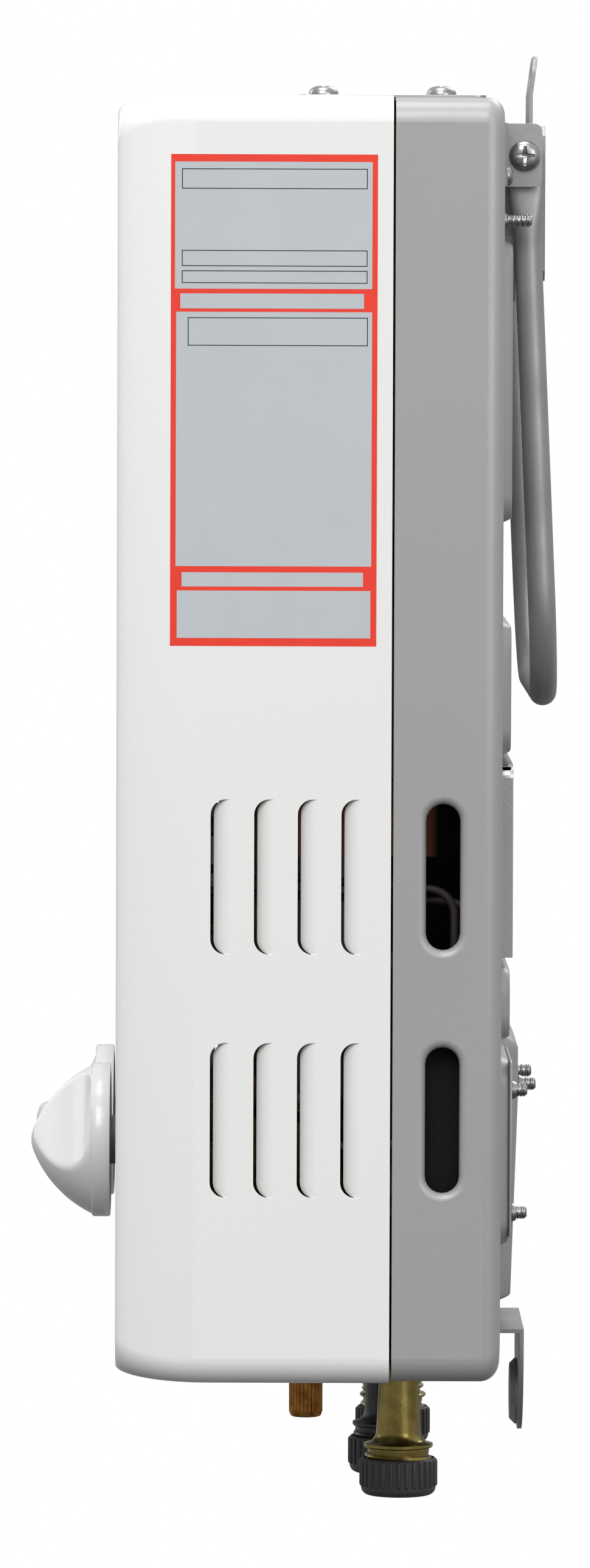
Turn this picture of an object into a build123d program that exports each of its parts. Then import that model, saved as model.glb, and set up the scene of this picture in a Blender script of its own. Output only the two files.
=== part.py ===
from build123d import *
import math
import os

os.makedirs("parts", exist_ok=True)

# Portable propane water heater, hung on a wall by the tongue of its hanger.
# Millimetres. +Z is up and the front faces -Y. The origin is the centre of the hanging hole,
# at the rear face of the tongue. A "drop" is a depth below the top face of the front cover.

# ---------------------------------------------------------------- driving dimensions
body_width = 292.0
body_height = 382.0
cover_depth = 81.4            # front face to seam
pan_depth = 33.0              # seam to back face
sheet = 0.8                   # cover and pan sheet
cover_corner = 8.0            # corner radius seen from the front
cover_side_ease = (24.0, 5.0)     # depth and inset of the eased side edges
cover_top_ease = (18.0, 5.0)
cover_bottom_ease = (28.0, 4.5)

hole_above_top = 8.0          # hanging hole above the cover's top
hanging_hole_radius = 3.2
tongue_lean = math.radians(7.3)
tongue_kink_drop = -2.4
tongue_tip_drop = -14.3
tongue_width = 38.0
tongue_rear = 11.4            # rear face of the upright tongue behind the pan
wall_standoff = 13.6          # wall side of the hanger behind the pan
hanger_plate = 1.2
hanger_top_drop = 8.0
hanger_bottom_drop = 54.6
hanger_side_top_drop = 14.0
hanger_foot_bottom_drop = 60.8
hanger_foot_width = 14.0

fit_gap = 0.3                 # clearance between neighbouring loose parts
overshoot = 1.0               # how far a cutter stands out of what it cuts
running_gap = 0.05            # radial clearance of shafts in their bores

top_z = -hole_above_top
bottom_z = top_z - body_height
half_width = body_width / 2
pan_back = -tongue_rear - (hole_above_top + tongue_kink_drop) * math.tan(tongue_lean)
seam = pan_back - pan_depth
cover_front = seam - cover_depth


# ---------------------------------------------------------------- helpers
def write_node(name, shape):
    export_step(shape, f"parts/{name}.step")


def slab(x_low, x_high, y_low, y_high, drop_top, drop_bottom):
    centre = Pos((x_low + x_high) / 2, (y_low + y_high) / 2, top_z - (drop_top + drop_bottom) / 2)
    return centre * Box(x_high - x_low, y_high - y_low, drop_bottom - drop_top)


def rod_x(radius, x_low, x_high, y, drop):
    return Pos((x_low + x_high) / 2, y, top_z - drop) * Rot(0, 90, 0) * Cylinder(radius, x_high - x_low)


def rod_y(radius, y_low, y_high, x, drop):
    return Pos(x, (y_low + y_high) / 2, top_z - drop) * Rot(90, 0, 0) * Cylinder(radius, y_high - y_low)


def rod_z(radius, drop_top, drop_bottom, x, y):
    return Pos(x, y, top_z - (drop_top + drop_bottom) / 2) * Cylinder(radius, drop_bottom - drop_top)


def both_sides(part):
    return Part() + [part, mirror(part, about=Plane.YZ)]


def pipe(points, bends, radius):
    """Round bar along a route of straight runs and arcs; points are (x, y, drop)."""
    route = FilletPolyline(*[(x, y, top_z - drop) for x, y, drop in points], radius=bends)
    return sweep((Plane(route @ 0, z_dir=route % 0) * Circle(radius)), path=route)


def turned(outline, x, y):
    """Solid of revolution about a vertical axis; outline is a list of (radius, drop)."""
    face = make_face(Plane.XZ * Polyline(*[(radius, top_z - drop) for radius, drop in outline], close=True))
    return Pos(x, y, 0) * revolve(face, axis=Axis.Z)


def eased_profile(closed_y, open_y, z_low, z_high, top_ease, bottom_ease):
    """Side profile of a pressed box, with elliptical corners at its closed end."""
    towards = 1 if closed_y > open_y else -1
    middle = Pos((closed_y + open_y) / 2, (z_low + z_high) / 2)
    profile = middle * Rectangle(abs(closed_y - open_y), z_high - z_low)
    for (depth, inset), edge, up in ((top_ease, z_high, 1), (bottom_ease, z_low, -1)):
        corner = Pos(closed_y - towards * depth / 2, edge - up * inset / 2) * Rectangle(depth, inset)
        oval = Pos(closed_y - towards * depth, edge - up * inset) * Ellipse(depth, inset)
        profile -= corner - oval
    return profile


def pressed_box(wide, closed_y, open_y, z_low, z_high, corner, side_ease, top_ease, bottom_ease):
    """Solid form of a pressed box: the overlap of its front, side and plan outlines."""
    towards = 1 if closed_y > open_y else -1
    face_on = Pos(0, (z_low + z_high) / 2) * RectangleRounded(2 * wide, z_high - z_low, corner)
    face_block = extrude(Plane.XZ.offset(-max(closed_y, open_y)) * face_on, abs(closed_y - open_y))
    side = eased_profile(closed_y, open_y, z_low, z_high, top_ease, bottom_ease)
    side_block = extrude(Plane.YZ.offset(-wide) * side, 2 * wide)
    depth, inset = side_ease
    plan = Pos(0, (closed_y + open_y) / 2) * Rectangle(2 * wide, abs(closed_y - open_y))
    for hand in (-1, 1):
        corner_at = (hand * (wide - inset / 2), closed_y - towards * depth / 2)
        oval_at = (hand * (wide - inset), closed_y - towards * depth)
        plan -= Pos(*corner_at) * Rectangle(inset, depth) - Pos(*oval_at) * Ellipse(inset, depth)
    plan_block = extrude(Plane.XY.offset(z_low) * plan, z_high - z_low)
    return face_block & side_block & plan_block


def thinned(ease):
    depth, inset = ease
    return depth - sheet, inset - sheet


def upright_slot(length, width):
    """Stadium outline with its long way up, for a side plane."""
    return Rot(0, 0, 90) * SlotOverall(length, width)


# ---------------------------------------------------------------- shared places
lower_vent_drop = body_height - 78.9
vent_row_pitch = 72.2
vent_row_drops = (lower_vent_drop - vent_row_pitch, lower_vent_drop)

knob_x = 35.5
knob_drop = body_height - 63.3
knob_radius = 23.65
knob_depth = 24.4
knob_panel_gap = 3.1
knob_skirt = 5.5
knob_wall = 2.2
knob_hollow = 3.0
knob_hub_radius = 8.0
knob_hub_setback = 1.5
knob_bore_depth = 13.0
knob_dome_step = 0.75
knob_nose = 9.0               # radius of the dome's nose
knob_flank = 36.0             # radius of the dome's flank
knob_grip_half = 4.5
knob_scoop_radius = 22.0
knob_scoop_rise = 2.5         # scoop centre beyond the dome's top
water_knob_turn = 35.0
gas_knob_turn = 90.0
spindle_radius = 4.0
spindle_collar_radius = 7.5
spindle_hole_radius = 8.5

inlet_x = 68.0
outlet_x = -67.0
gas_x = 12.0
fitting_setback = 29.0        # water fittings ahead of the pan's back
gas_setback = 32.0
fitting_y = pan_back - fitting_setback
gas_y = pan_back - gas_setback
neck_hole_radius = 8.0
fitting_bottom_drop = body_height + 40.9

drain_x = knob_x + 4.5
drain_y = pan_back - 57.2
drain_radius = 5.2
drain_hole_radius = 7.0
drain_bottom_drop = body_height + 21.5

exhaust_plate_half = half_width - 41.0
exhaust_half_width = exhaust_plate_half - 10.0
exhaust_front = seam - 23.0
exhaust_back = seam + 22.0

window_width = 56.0
window_height = 16.0
burner_bottom_drop = knob_drop - 56.7
burner_top_drop = burner_bottom_drop - 34.0
window_drop = burner_top_drop - 14.0

battery_box_width = 70.6
battery_box_depth = 36.4
battery_left = -half_width + 4.5
battery_right = battery_left + battery_box_width
battery_front = cover_front + 30.5
battery_back = battery_front + battery_box_depth
door_gap = 0.4
door_ledge = 0.9              # box rim outside the door opening

exhaust_screw_x = exhaust_plate_half - 5.2
exhaust_screw_ys = (seam - 20.5, seam + 14.8)
plate_screw_radius = 1.9


# ---------------------------------------------------------------- front cover
louvre_first = 28.0           # first slit behind the front face
louvre_pitch = 12.9
louvre_count = 4
louvre_width = 5.9
louvre_length = 46.0
louvre_corner = 4.5
louvre_depth = 2.3
louvre_slit = 0.8


def louvre_outline(slit_y, drop, grow):
    """D-shaped outline on the side plane: straight at the slit, rounded at both ends."""
    width = louvre_width + grow
    whole = RectangleRounded(2 * width, louvre_length + 2 * grow, louvre_corner + grow)
    front_half = Pos(-width / 2, 0) * Rectangle(width, louvre_length + 4 * grow + overshoot)
    shift = Pos(slit_y + louvre_width + grow, top_z - drop)
    return shift * (whole & front_half)


def louvre_cutter(slit_y, drop):
    plane = Plane.YZ.offset(half_width - 2 * sheet)
    return extrude(plane * louvre_outline(slit_y, drop, 0), 3 * sheet)


def louvre_blade(slit_y, drop):
    """Skin of the pressed-in louvre: deepest at the slit, flush at its rear edge."""
    rear_y = slit_y + louvre_width
    base = top_z - drop - louvre_length
    skin = make_face(Polyline(
        (half_width, slit_y),
        (half_width, rear_y + sheet),
        (half_width - sheet, rear_y + sheet),
        (half_width - louvre_depth - sheet, slit_y),
        close=True))
    hollow = make_face(Polyline(
        (half_width + sheet, slit_y - sheet),
        (half_width + sheet, rear_y),
        (half_width, rear_y),
        (half_width - louvre_depth, slit_y),
        (half_width - louvre_depth, slit_y - sheet),
        close=True))
    plane = Plane.XY.offset(base)
    inner_plane = Plane.YZ.offset(half_width - louvre_depth - 2 * sheet)
    reach = louvre_depth + 3 * sheet
    whole = extrude(inner_plane * louvre_outline(slit_y, drop, sheet), reach)
    pressed = extrude(inner_plane * louvre_outline(slit_y, drop, 0), reach)
    blade = extrude(plane * skin, 2 * louvre_length) & whole
    blade -= extrude(plane * hollow, 2 * louvre_length) & pressed
    slit = slab(half_width - reach, half_width + sheet, slit_y - sheet, slit_y + louvre_slit,
                drop - louvre_length, drop + louvre_length)
    return blade - slit


def front_cover():
    wide, front = half_width, cover_front
    outer = pressed_box(wide, front, seam, bottom_z, top_z, cover_corner,
                        cover_side_ease, cover_top_ease, cover_bottom_ease)
    inner = pressed_box(wide - sheet, front + sheet, seam + sheet, bottom_z + sheet, top_z - sheet,
                        cover_corner - sheet, thinned(cover_side_ease), thinned(cover_top_ease),
                        thinned(cover_bottom_ease))
    cover = outer - inner
    slits = [cover_front + louvre_first + n * louvre_pitch for n in range(louvre_count)]
    places = [(slit_y, drop) for drop in vent_row_drops for slit_y in slits]
    cover -= [both_sides(louvre_cutter(*place)) for place in places]
    cover += [both_sides(louvre_blade(*place)) for place in places]
    cover -= slab(-exhaust_half_width, exhaust_half_width, exhaust_front, seam + sheet, -sheet, 2 * sheet)
    for x in (-knob_x, knob_x):
        cover -= rod_y(spindle_hole_radius, cover_front - sheet, cover_front + 2 * sheet, x, knob_drop)
    window = Pos(0, top_z - window_drop) * SlotOverall(window_width, window_height)
    cover -= extrude(Plane.XZ.offset(-cover_front - 2 * sheet) * window, 3 * sheet)
    cover -= bottom_holes()
    cover -= slab(battery_left + door_ledge, battery_right - door_ledge, battery_front + door_ledge,
                  battery_back - door_ledge, body_height - 3 * sheet, body_height + sheet)
    cover -= exhaust_screw_holes(exhaust_screw_ys[0])
    return cover


def bottom_holes():
    """Holes for the fittings and the drain plug, through both bottom walls."""
    low, high = body_height - 4 * sheet, body_height + sheet
    return [
        rod_z(neck_hole_radius, low, high, inlet_x, fitting_y),
        rod_z(neck_hole_radius, low, high, outlet_x, fitting_y),
        rod_z(neck_hole_radius, low, high, gas_x, gas_y),
        rod_z(drain_hole_radius, low, high, drain_x, drain_y),
    ]


def exhaust_screw_holes(y):
    return both_sides(rod_z(plate_screw_radius + running_gap, -2 * sheet, 4 * sheet, exhaust_screw_x, y))


write_node("front_cover", front_cover())

# ---------------------------------------------------------------- back pan
pan_inset = 0.6               # pan edge inside the cover's outline
pan_corner = 7.4
pan_ease = (5.0, 5.0)
pan_bottom_ease = (6.0, 6.0)
seam_gap = 0.7
lip_length = 9.3
slot_setback = 17.5           # vent slots ahead of the pan's back
slot_length = 43.3
slot_width = 10.1
slot_rim_depth = 2.4
pad_proud = 3.5
pad_half_width = half_width - 42.0
pad_corner = 9.0
pad_taper = 35.0
pad_skin_inset = 0.3          # inner form inside the outer one, for the sheet in the slopes
lower_pad_bottom = body_height - 36.0
pad_drops = ((41.5, 128.0), (156.0, 198.0), (lower_pad_bottom - 86.5, lower_pad_bottom - 62.0),
             (lower_pad_bottom - 59.0, lower_pad_bottom))
duct_half_width = 40.0
duct_top_drop = lower_pad_bottom - 64.0
duct_bottom_drop = lower_pad_bottom + 23.5
duct_proud = 8.0
duct_proud_bottom = 5.9
duct_ridge_length = 16.0      # level part of the duct below its slope
duct_skin_drop = 0.3

pan_half = half_width - pan_inset
pan_top = top_z - pan_inset
pan_bottom = bottom_z + pan_inset


def pad_form(drop_top, drop_bottom, shrink, proud):
    outline = RectangleRounded(2 * (pad_half_width - shrink), drop_bottom - drop_top - 2 * shrink,
                               pad_corner - shrink)
    plane = Plane.XZ.offset(-pan_back) * Pos(0, top_z - (drop_top + drop_bottom) / 2)
    return extrude(plane * outline, -proud, taper=pad_taper)


def duct_form(shrink):
    """Raised duct on the back: a wedge that falls off downwards."""
    low, high = pan_back - sheet - shrink, pan_back
    side = make_face(Polyline(
        (low, top_z - duct_top_drop - shrink),
        (high + duct_proud - shrink, top_z - duct_top_drop - duct_proud - shrink * duct_skin_drop),
        (high + duct_proud - shrink, top_z - duct_top_drop - duct_proud - duct_ridge_length),
        (high + duct_proud_bottom - shrink, top_z - duct_bottom_drop + shrink),
        (low, top_z - duct_bottom_drop + shrink),
        close=True))
    wide = duct_half_width - shrink
    return extrude(Plane.YZ.offset(-wide) * side, 2 * wide)


def vent_slot(drop, grow, x_low, x_high):
    plane = Plane.YZ.offset(x_low) * Pos(pan_back - slot_setback, top_z - drop)
    return extrude(plane * upright_slot(slot_length + 2 * grow, slot_width + 2 * grow), x_high - x_low)


def back_pan():
    outer = pressed_box(pan_half, pan_back, seam + seam_gap, pan_bottom, pan_top, pan_corner,
                        pan_ease, pan_ease, pan_bottom_ease)
    inner = pressed_box(pan_half - sheet, pan_back - sheet, seam - sheet, pan_bottom + sheet,
                        pan_top - sheet, pan_corner - sheet, thinned(pan_ease), thinned(pan_ease),
                        thinned(pan_bottom_ease))
    lip_half = half_width - sheet - fit_gap
    lip_low, lip_high = bottom_z + sheet + fit_gap, top_z - sheet - fit_gap
    lip_corner = cover_corner - sheet - fit_gap
    middle = Pos(0, (pan_top + pan_bottom) / 2)
    lip_middle = Pos(0, (lip_low + lip_high) / 2)
    lip_outline = lip_middle * RectangleRounded(2 * lip_half, lip_high - lip_low, lip_corner)
    lip_inside = lip_middle * RectangleRounded(
        2 * (lip_half - sheet), lip_high - lip_low - 2 * sheet, lip_corner - sheet)
    lip = extrude(Plane.XZ.offset(-seam - seam_gap - sheet) * (lip_outline - lip_inside), lip_length)
    step_outline = middle * RectangleRounded(2 * pan_half, pan_top - pan_bottom, pan_corner)
    step = extrude(Plane.XZ.offset(-seam - seam_gap - sheet) * (step_outline - lip_inside), sheet)
    pan = outer - inner + lip + step
    for drop_top, drop_bottom in pad_drops:
        pan += pad_form(drop_top, drop_bottom, 0, pad_proud)
    pan += duct_form(0)
    for drop_top, drop_bottom in pad_drops:
        pan -= Pos(0, -sheet, 0) * pad_form(drop_top, drop_bottom, pad_skin_inset, pad_proud)
    pan -= duct_form(sheet)
    for drop in vent_row_drops:
        pan += both_sides(vent_slot(drop, sheet, pan_half - slot_rim_depth, pan_half))
        pan -= both_sides(vent_slot(drop, 0, pan_half - slot_rim_depth - sheet, pan_half + sheet))
    pan -= slab(-exhaust_half_width, exhaust_half_width, seam - lip_length, exhaust_back,
                pan_inset - sheet, 4 * sheet)
    pan -= bottom_holes()
    pan -= exhaust_screw_holes(exhaust_screw_ys[1])
    return pan


write_node("back_pan", back_pan())

# ---------------------------------------------------------------- exhaust plate
exhaust_plate_front = exhaust_front - 4.8
exhaust_plate_back = exhaust_back + 6.2
exhaust_plate_sheet = 0.8
exhaust_plate_corner = 3.2
exhaust_slot_length = 11.0
exhaust_slot_width = 3.0
exhaust_slot_columns = 12
exhaust_slot_rows = 3
exhaust_slot_pitch_x = 2 * (exhaust_half_width - 14.7) / (exhaust_slot_columns - 1)
exhaust_slot_pitch_y = 10.5
pan_head_radius = 4.5
pan_head_height = 2.7
head_round = 0.6              # rounding of a screw head, as a share of its height
plate_screw_length = 7.0


def pan_screw(shank_radius, shank_length, head_radius, head_height):
    """Screw standing on the origin with its head up."""
    head = Pos(0, 0, head_height / 2) * Cylinder(head_radius, head_height)
    head = fillet(head.edges().group_by(Axis.Z)[-1], head_height * head_round)
    return head + Pos(0, 0, -shank_length / 2) * Cylinder(shank_radius, shank_length)


def exhaust_plate():
    plate = slab(-exhaust_plate_half, exhaust_plate_half, exhaust_plate_front, exhaust_plate_back,
                 -exhaust_plate_sheet, 0)
    plate = fillet(plate.edges().filter_by(Axis.Z), exhaust_plate_corner)
    middle_y = (exhaust_front + exhaust_back) / 2
    grid = GridLocations(exhaust_slot_pitch_x, exhaust_slot_pitch_y, exhaust_slot_columns, exhaust_slot_rows)
    slot = Box(exhaust_slot_length, exhaust_slot_width, 4 * exhaust_plate_sheet)
    plate -= [Pos(0, middle_y, top_z) * place * slot for place in grid]
    return plate - [exhaust_screw_holes(y) for y in exhaust_screw_ys]


def exhaust_plate_screws():
    top = top_z + exhaust_plate_sheet
    screw = pan_screw(plate_screw_radius, plate_screw_length, pan_head_radius, pan_head_height)
    return Part() + [both_sides(Pos(exhaust_screw_x, y, top) * screw) for y in exhaust_screw_ys]


write_node("exhaust_plate", exhaust_plate())
write_node("exhaust_plate_screws", exhaust_plate_screws())

# ---------------------------------------------------------------- combustion chamber and flue
chamber_half = half_width - 58.0
chamber_sheet = 0.8
coil_pitch = 21.2
coil_ys = [fitting_y - row * coil_pitch for row in (2, 1, 0)]
chamber_back = coil_ys[2] + coil_pitch / 2
chamber_front = coil_ys[0] - coil_pitch / 2
coil_drop = 73.0
fin_half_height = 13.0
fin_top_drop = coil_drop - fin_half_height
fin_bottom_drop = coil_drop + fin_half_height
chamber_top_drop = fin_top_drop - 2.0
chamber_bottom_drop = burner_top_drop
hood_top_drop = 2.4
hood_half_top = exhaust_half_width - 5.0
hood_front = exhaust_front + 1.6
hood_back = exhaust_back - 2.6
fin_count = 20
fin_pitch = 2 * (chamber_half - 8.2) / (fin_count - 1)
fin_space = 4.6
fin_cut = 5.0
coil_radius = 6.5
coil_end_x = chamber_half + 5.0
pipe_x = chamber_half + 22.0
pipe_radius = 5.5
pipe_joint_x = coil_end_x + 2.0
window_margin = 2.0           # chamber's window inside the cover's
electrode_x = 40.0
electrode_drop = chamber_bottom_drop - 6.0
electrode_radius = 3.0


def sheet_box(half, y_front, y_back, drop_top, drop_bottom, wall):
    """Open-ended sheet box: four walls."""
    outer = slab(-half, half, y_front, y_back, drop_top, drop_bottom)
    return outer - slab(-half + wall, half - wall, y_front + wall, y_back - wall,
                        drop_top - wall, drop_bottom + wall)


def combustion_chamber():
    chamber = sheet_box(chamber_half, chamber_front, chamber_back, chamber_top_drop, chamber_bottom_drop,
                        chamber_sheet)
    for y in coil_ys:
        chamber -= rod_x(coil_radius + running_gap, -chamber_half - overshoot, chamber_half + overshoot, y,
                         coil_drop)
    window = Pos(0, top_z - window_drop) * SlotOverall(
        window_width - 2 * window_margin, window_height - 2 * window_margin)
    chamber -= extrude(Plane.XZ.offset(-chamber_front - 2 * chamber_sheet) * window, 3 * chamber_sheet)
    for x in (-electrode_x, electrode_x):
        chamber -= rod_y(electrode_radius + running_gap, chamber_front - overshoot,
                         chamber_front + 2 * chamber_sheet, x, electrode_drop)
    return chamber


def flue_hood():
    def flare(wall):
        low = Pos(0, coil_ys[1], top_z - chamber_top_drop) * Rectangle(
            2 * (chamber_half - wall), chamber_back - chamber_front - 2 * wall)
        high = Pos(0, (hood_front + hood_back) / 2, top_z - hood_top_drop) * Rectangle(
            2 * (hood_half_top - wall), hood_back - hood_front - 2 * wall)
        return loft([low.face(), high.face()])

    return flare(0) - flare(chamber_sheet)


def fin_block():
    """Fin pack brazed round the coil: slots above and below the tubes part the fins."""
    inner_half = chamber_half - chamber_sheet
    y_low, y_high = chamber_front + chamber_sheet, chamber_back - chamber_sheet
    block = slab(-inner_half, inner_half, y_low, y_high, fin_top_drop, fin_bottom_drop)
    for y in coil_ys:
        block -= rod_x(coil_radius + running_gap, -chamber_half, chamber_half, y, coil_drop)
    spaces = []
    for n in range(fin_count):
        x = (n - (fin_count - 1) / 2) * fin_pitch
        for top, bottom in ((fin_top_drop - overshoot, fin_top_drop + fin_cut),
                            (fin_bottom_drop - fin_cut, fin_bottom_drop + overshoot)):
            spaces.append(slab(x - fin_space / 2, x + fin_space / 2, y_low - overshoot, y_high + overshoot,
                               top, bottom))
    return block - spaces


def water_coil():
    z = top_z - coil_drop
    y1, y2, y3 = coil_ys
    reach = coil_end_x + coil_pitch / 2
    route = Wire([
        Line((pipe_joint_x, y1, z), (-coil_end_x, y1, z)),
        ThreePointArc((-coil_end_x, y1, z), (-reach, (y1 + y2) / 2, z), (-coil_end_x, y2, z)),
        Line((-coil_end_x, y2, z), (coil_end_x, y2, z)),
        ThreePointArc((coil_end_x, y2, z), (reach, (y2 + y3) / 2, z), (coil_end_x, y3, z)),
        Line((coil_end_x, y3, z), (-pipe_joint_x, y3, z)),
    ])
    return sweep(Plane(route @ 0, z_dir=route % 0) * Circle(coil_radius), path=route)


write_node("combustion_chamber", combustion_chamber())
write_node("flue_hood", flue_hood())
write_node("fin_block", fin_block())
write_node("water_coil", water_coil())

# ---------------------------------------------------------------- burner
burner_wall = 1.0
bar_count = 5
bar_half = 8.0
bar_side_gap = 13.0           # outer bars' clearance from the tray
bar_pitch = 2 * (chamber_half - burner_wall - bar_side_gap - bar_half) / (bar_count - 1)
bar_top_gap = 1.0             # bars below the tray's rim
bar_head_round = 2.7
bar_head_depth = 8.0
bar_neck_half = 2.2
bar_tube_radius = 5.6
bar_tube_drop = burner_bottom_drop - 11.0
bar_mouth_radius = 4.2
bar_mouth_depth = 16.0
bar_slot_count = 6
bar_slot_width = 1.6
bar_slot_depth = 2.5
manifold_radius = 5.0
manifold_y = chamber_front - 13.0
manifold_half = chamber_half - 12.0
nozzle_radius = 2.4
nozzle_gap = 0.6
gas_valve_top_drop = knob_drop - 17.7

bar_xs = [(n - (bar_count - 1) / 2) * bar_pitch for n in range(bar_count)]


def burner_tray():
    tray = sheet_box(chamber_half, chamber_front, chamber_back, burner_top_drop, burner_bottom_drop,
                     burner_wall)
    for x in bar_xs:
        tray -= rod_y(bar_mouth_radius, chamber_front - overshoot, chamber_front + 2 * burner_wall, x,
                      bar_tube_drop)
    return tray


def burner_bars():
    y_low, y_high = chamber_front + burner_wall, chamber_back - burner_wall
    top = burner_top_drop + bar_top_gap
    head = slab(-bar_half, bar_half, y_low, y_high, top, top + bar_head_depth)
    head = fillet(head.edges().filter_by(Axis.Y).group_by(Axis.Z)[-1], bar_head_round)
    neck = slab(-bar_neck_half, bar_neck_half, y_low, y_high, top + bar_head_depth, bar_tube_drop)
    bar = head + neck + rod_y(bar_tube_radius, y_low, y_high, 0, bar_tube_drop)
    bar -= rod_y(bar_mouth_radius, y_low - overshoot, y_low + bar_mouth_depth, 0, bar_tube_drop)
    step = (y_high - y_low) / bar_slot_count
    for n in range(bar_slot_count):
        y = y_low + (n + 1 / 2) * step
        bar -= slab(-bar_half, bar_half, y - bar_slot_width / 2, y + bar_slot_width / 2, top - overshoot,
                    top + bar_slot_depth)
    return Part() + [Pos(x, 0, 0) * bar for x in bar_xs]


def gas_manifold():
    rail = rod_x(manifold_radius, -manifold_half, manifold_half, manifold_y, bar_tube_drop)
    return rail + rod_z(manifold_radius, bar_tube_drop, gas_valve_top_drop, -knob_x, manifold_y)


def gas_nozzles():
    tip = chamber_front - nozzle_gap
    nozzle = rod_y(nozzle_radius, manifold_y, tip, 0, bar_tube_drop)
    seat = manifold_radius + running_gap
    rail = rod_x(seat, -manifold_half, manifold_half, manifold_y, bar_tube_drop)
    riser = rod_z(seat, bar_tube_drop, gas_valve_top_drop, -knob_x, manifold_y)
    return Part() + [Pos(x, 0, 0) * nozzle - rail - riser for x in bar_xs]


electrode_rear = chamber_front - 12.0
electrode_front = chamber_front + 8.0
electrode_tip = chamber_front + 22.0
electrode_wire = 0.8


def electrode(x):
    ceramic = rod_y(electrode_radius, electrode_rear, electrode_front, x, electrode_drop)
    return ceramic + rod_y(electrode_wire, electrode_front, electrode_tip, x, electrode_drop)


write_node("burner_tray", burner_tray())
write_node("burner_bars", burner_bars())
write_node("gas_manifold", gas_manifold())
write_node("gas_nozzles", gas_nozzles())
write_node("igniter_electrode", electrode(electrode_x))
write_node("flame_sensor", electrode(-electrode_x))

# ---------------------------------------------------------------- chamber support and safety parts
support_sheet = 1.2
support_foot = 25.6
support_overlap = 20.0        # leg along the chamber's side
support_spans = ((fin_bottom_drop + 9.0, fin_bottom_drop + 25.0),
                 (chamber_bottom_drop - 23.0, burner_bottom_drop - 5.0))
cutout_x = 55.0
cutout_drop = fin_bottom_drop + 24.0
cutout_radius = 8.0
cutout_depth = 6.0
cutout_flange = (24.0, 8.0, 1.2)  # width, height, thickness
controller_side_gap = 9.0     # from the case's outline
controller_width = 25.0
controller_depth = 26.0
controller_height = 64.0
controller_corner = 1.5
controller_high_x = half_width - controller_side_gap
controller_low_x = controller_high_x - controller_width
controller_bottom_drop = body_height - 56.0
controller_top_drop = controller_bottom_drop - controller_height


def chamber_brackets():
    """Straps between the pan's back and the chamber: a foot on the chamber, a leg and a foot on the pan."""
    inner_back = pan_back - sheet
    straps = []
    for hand in (-1, 1):
        for drop_top, drop_bottom in support_spans:
            edge = hand * chamber_half
            near, far = sorted((edge, edge + hand * support_sheet))
            leg = slab(near, far, chamber_back - support_overlap, inner_back, drop_top, drop_bottom)
            inner, outer = sorted((edge, edge + hand * support_foot))
            foot = slab(inner, outer, inner_back - support_sheet, inner_back, drop_top, drop_bottom)
            straps.append(leg + foot)
    return Part() + straps


def overheat_cutout():
    can = rod_y(cutout_radius, chamber_front - cutout_depth, chamber_front, cutout_x, cutout_drop)
    wide, high, thick = cutout_flange
    flange = slab(cutout_x - wide / 2, cutout_x + wide / 2, chamber_front - thick, chamber_front,
                  cutout_drop - high / 2, cutout_drop + high / 2)
    return can + flange


def ignition_controller():
    y_high = pan_back - sheet
    case = slab(controller_low_x, controller_high_x, y_high - controller_depth, y_high,
                controller_top_drop, controller_bottom_drop)
    return chamfer(case.edges().filter_by(Axis.Z), controller_corner)


lead_radius = 1.3
lead_space = 7.0              # between the two leads
lead_rise = 26.0              # straight up out of the controller
lead_setback = 6.0            # leads ahead of the electrodes' rear ends
lead_arch = 30.0
igniter_lead_x = controller_high_x - 9.0
sensor_lead_x = igniter_lead_x - lead_space
lead_bend = 8.0
lead_wide_bend = 12.0
lead_tight_bend = 3.6
sensor_lead_rise = 22.0
sensor_lead_height = 13.0     # across the chamber's front, above the electrodes


def igniter_lead():
    start_y = pan_back - sheet - controller_depth / 2
    return pipe([
        (igniter_lead_x, start_y, controller_top_drop),
        (igniter_lead_x, start_y, controller_top_drop - lead_rise),
        (igniter_lead_x, electrode_rear + lead_setback, electrode_drop + lead_bend),
        (electrode_x + lead_arch, electrode_rear - lead_setback, electrode_drop),
        (electrode_x, electrode_rear - lead_setback, electrode_drop),
        (electrode_x, electrode_rear, electrode_drop),
    ], [lead_bend, lead_wide_bend, lead_wide_bend, lead_tight_bend], lead_radius)


def sensor_lead():
    start_y = pan_back - sheet - controller_depth / 2 + lead_setback
    across_y = electrode_rear - lead_tight_bend - fit_gap
    return pipe([
        (sensor_lead_x, start_y, controller_top_drop),
        (sensor_lead_x, start_y, controller_top_drop - sensor_lead_rise),
        (sensor_lead_x - lead_radius, across_y, electrode_drop + sensor_lead_height + lead_radius),
        (-electrode_x, across_y, electrode_drop + sensor_lead_height),
        (-electrode_x, across_y, electrode_drop),
        (-electrode_x, electrode_rear, electrode_drop),
    ], [lead_bend, lead_wide_bend, lead_bend, lead_tight_bend], lead_radius)


write_node("chamber_brackets", chamber_brackets())
write_node("overheat_cutout", overheat_cutout())
write_node("ignition_controller", ignition_controller())
write_node("igniter_lead", igniter_lead())
write_node("sensor_lead", sensor_lead())

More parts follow.
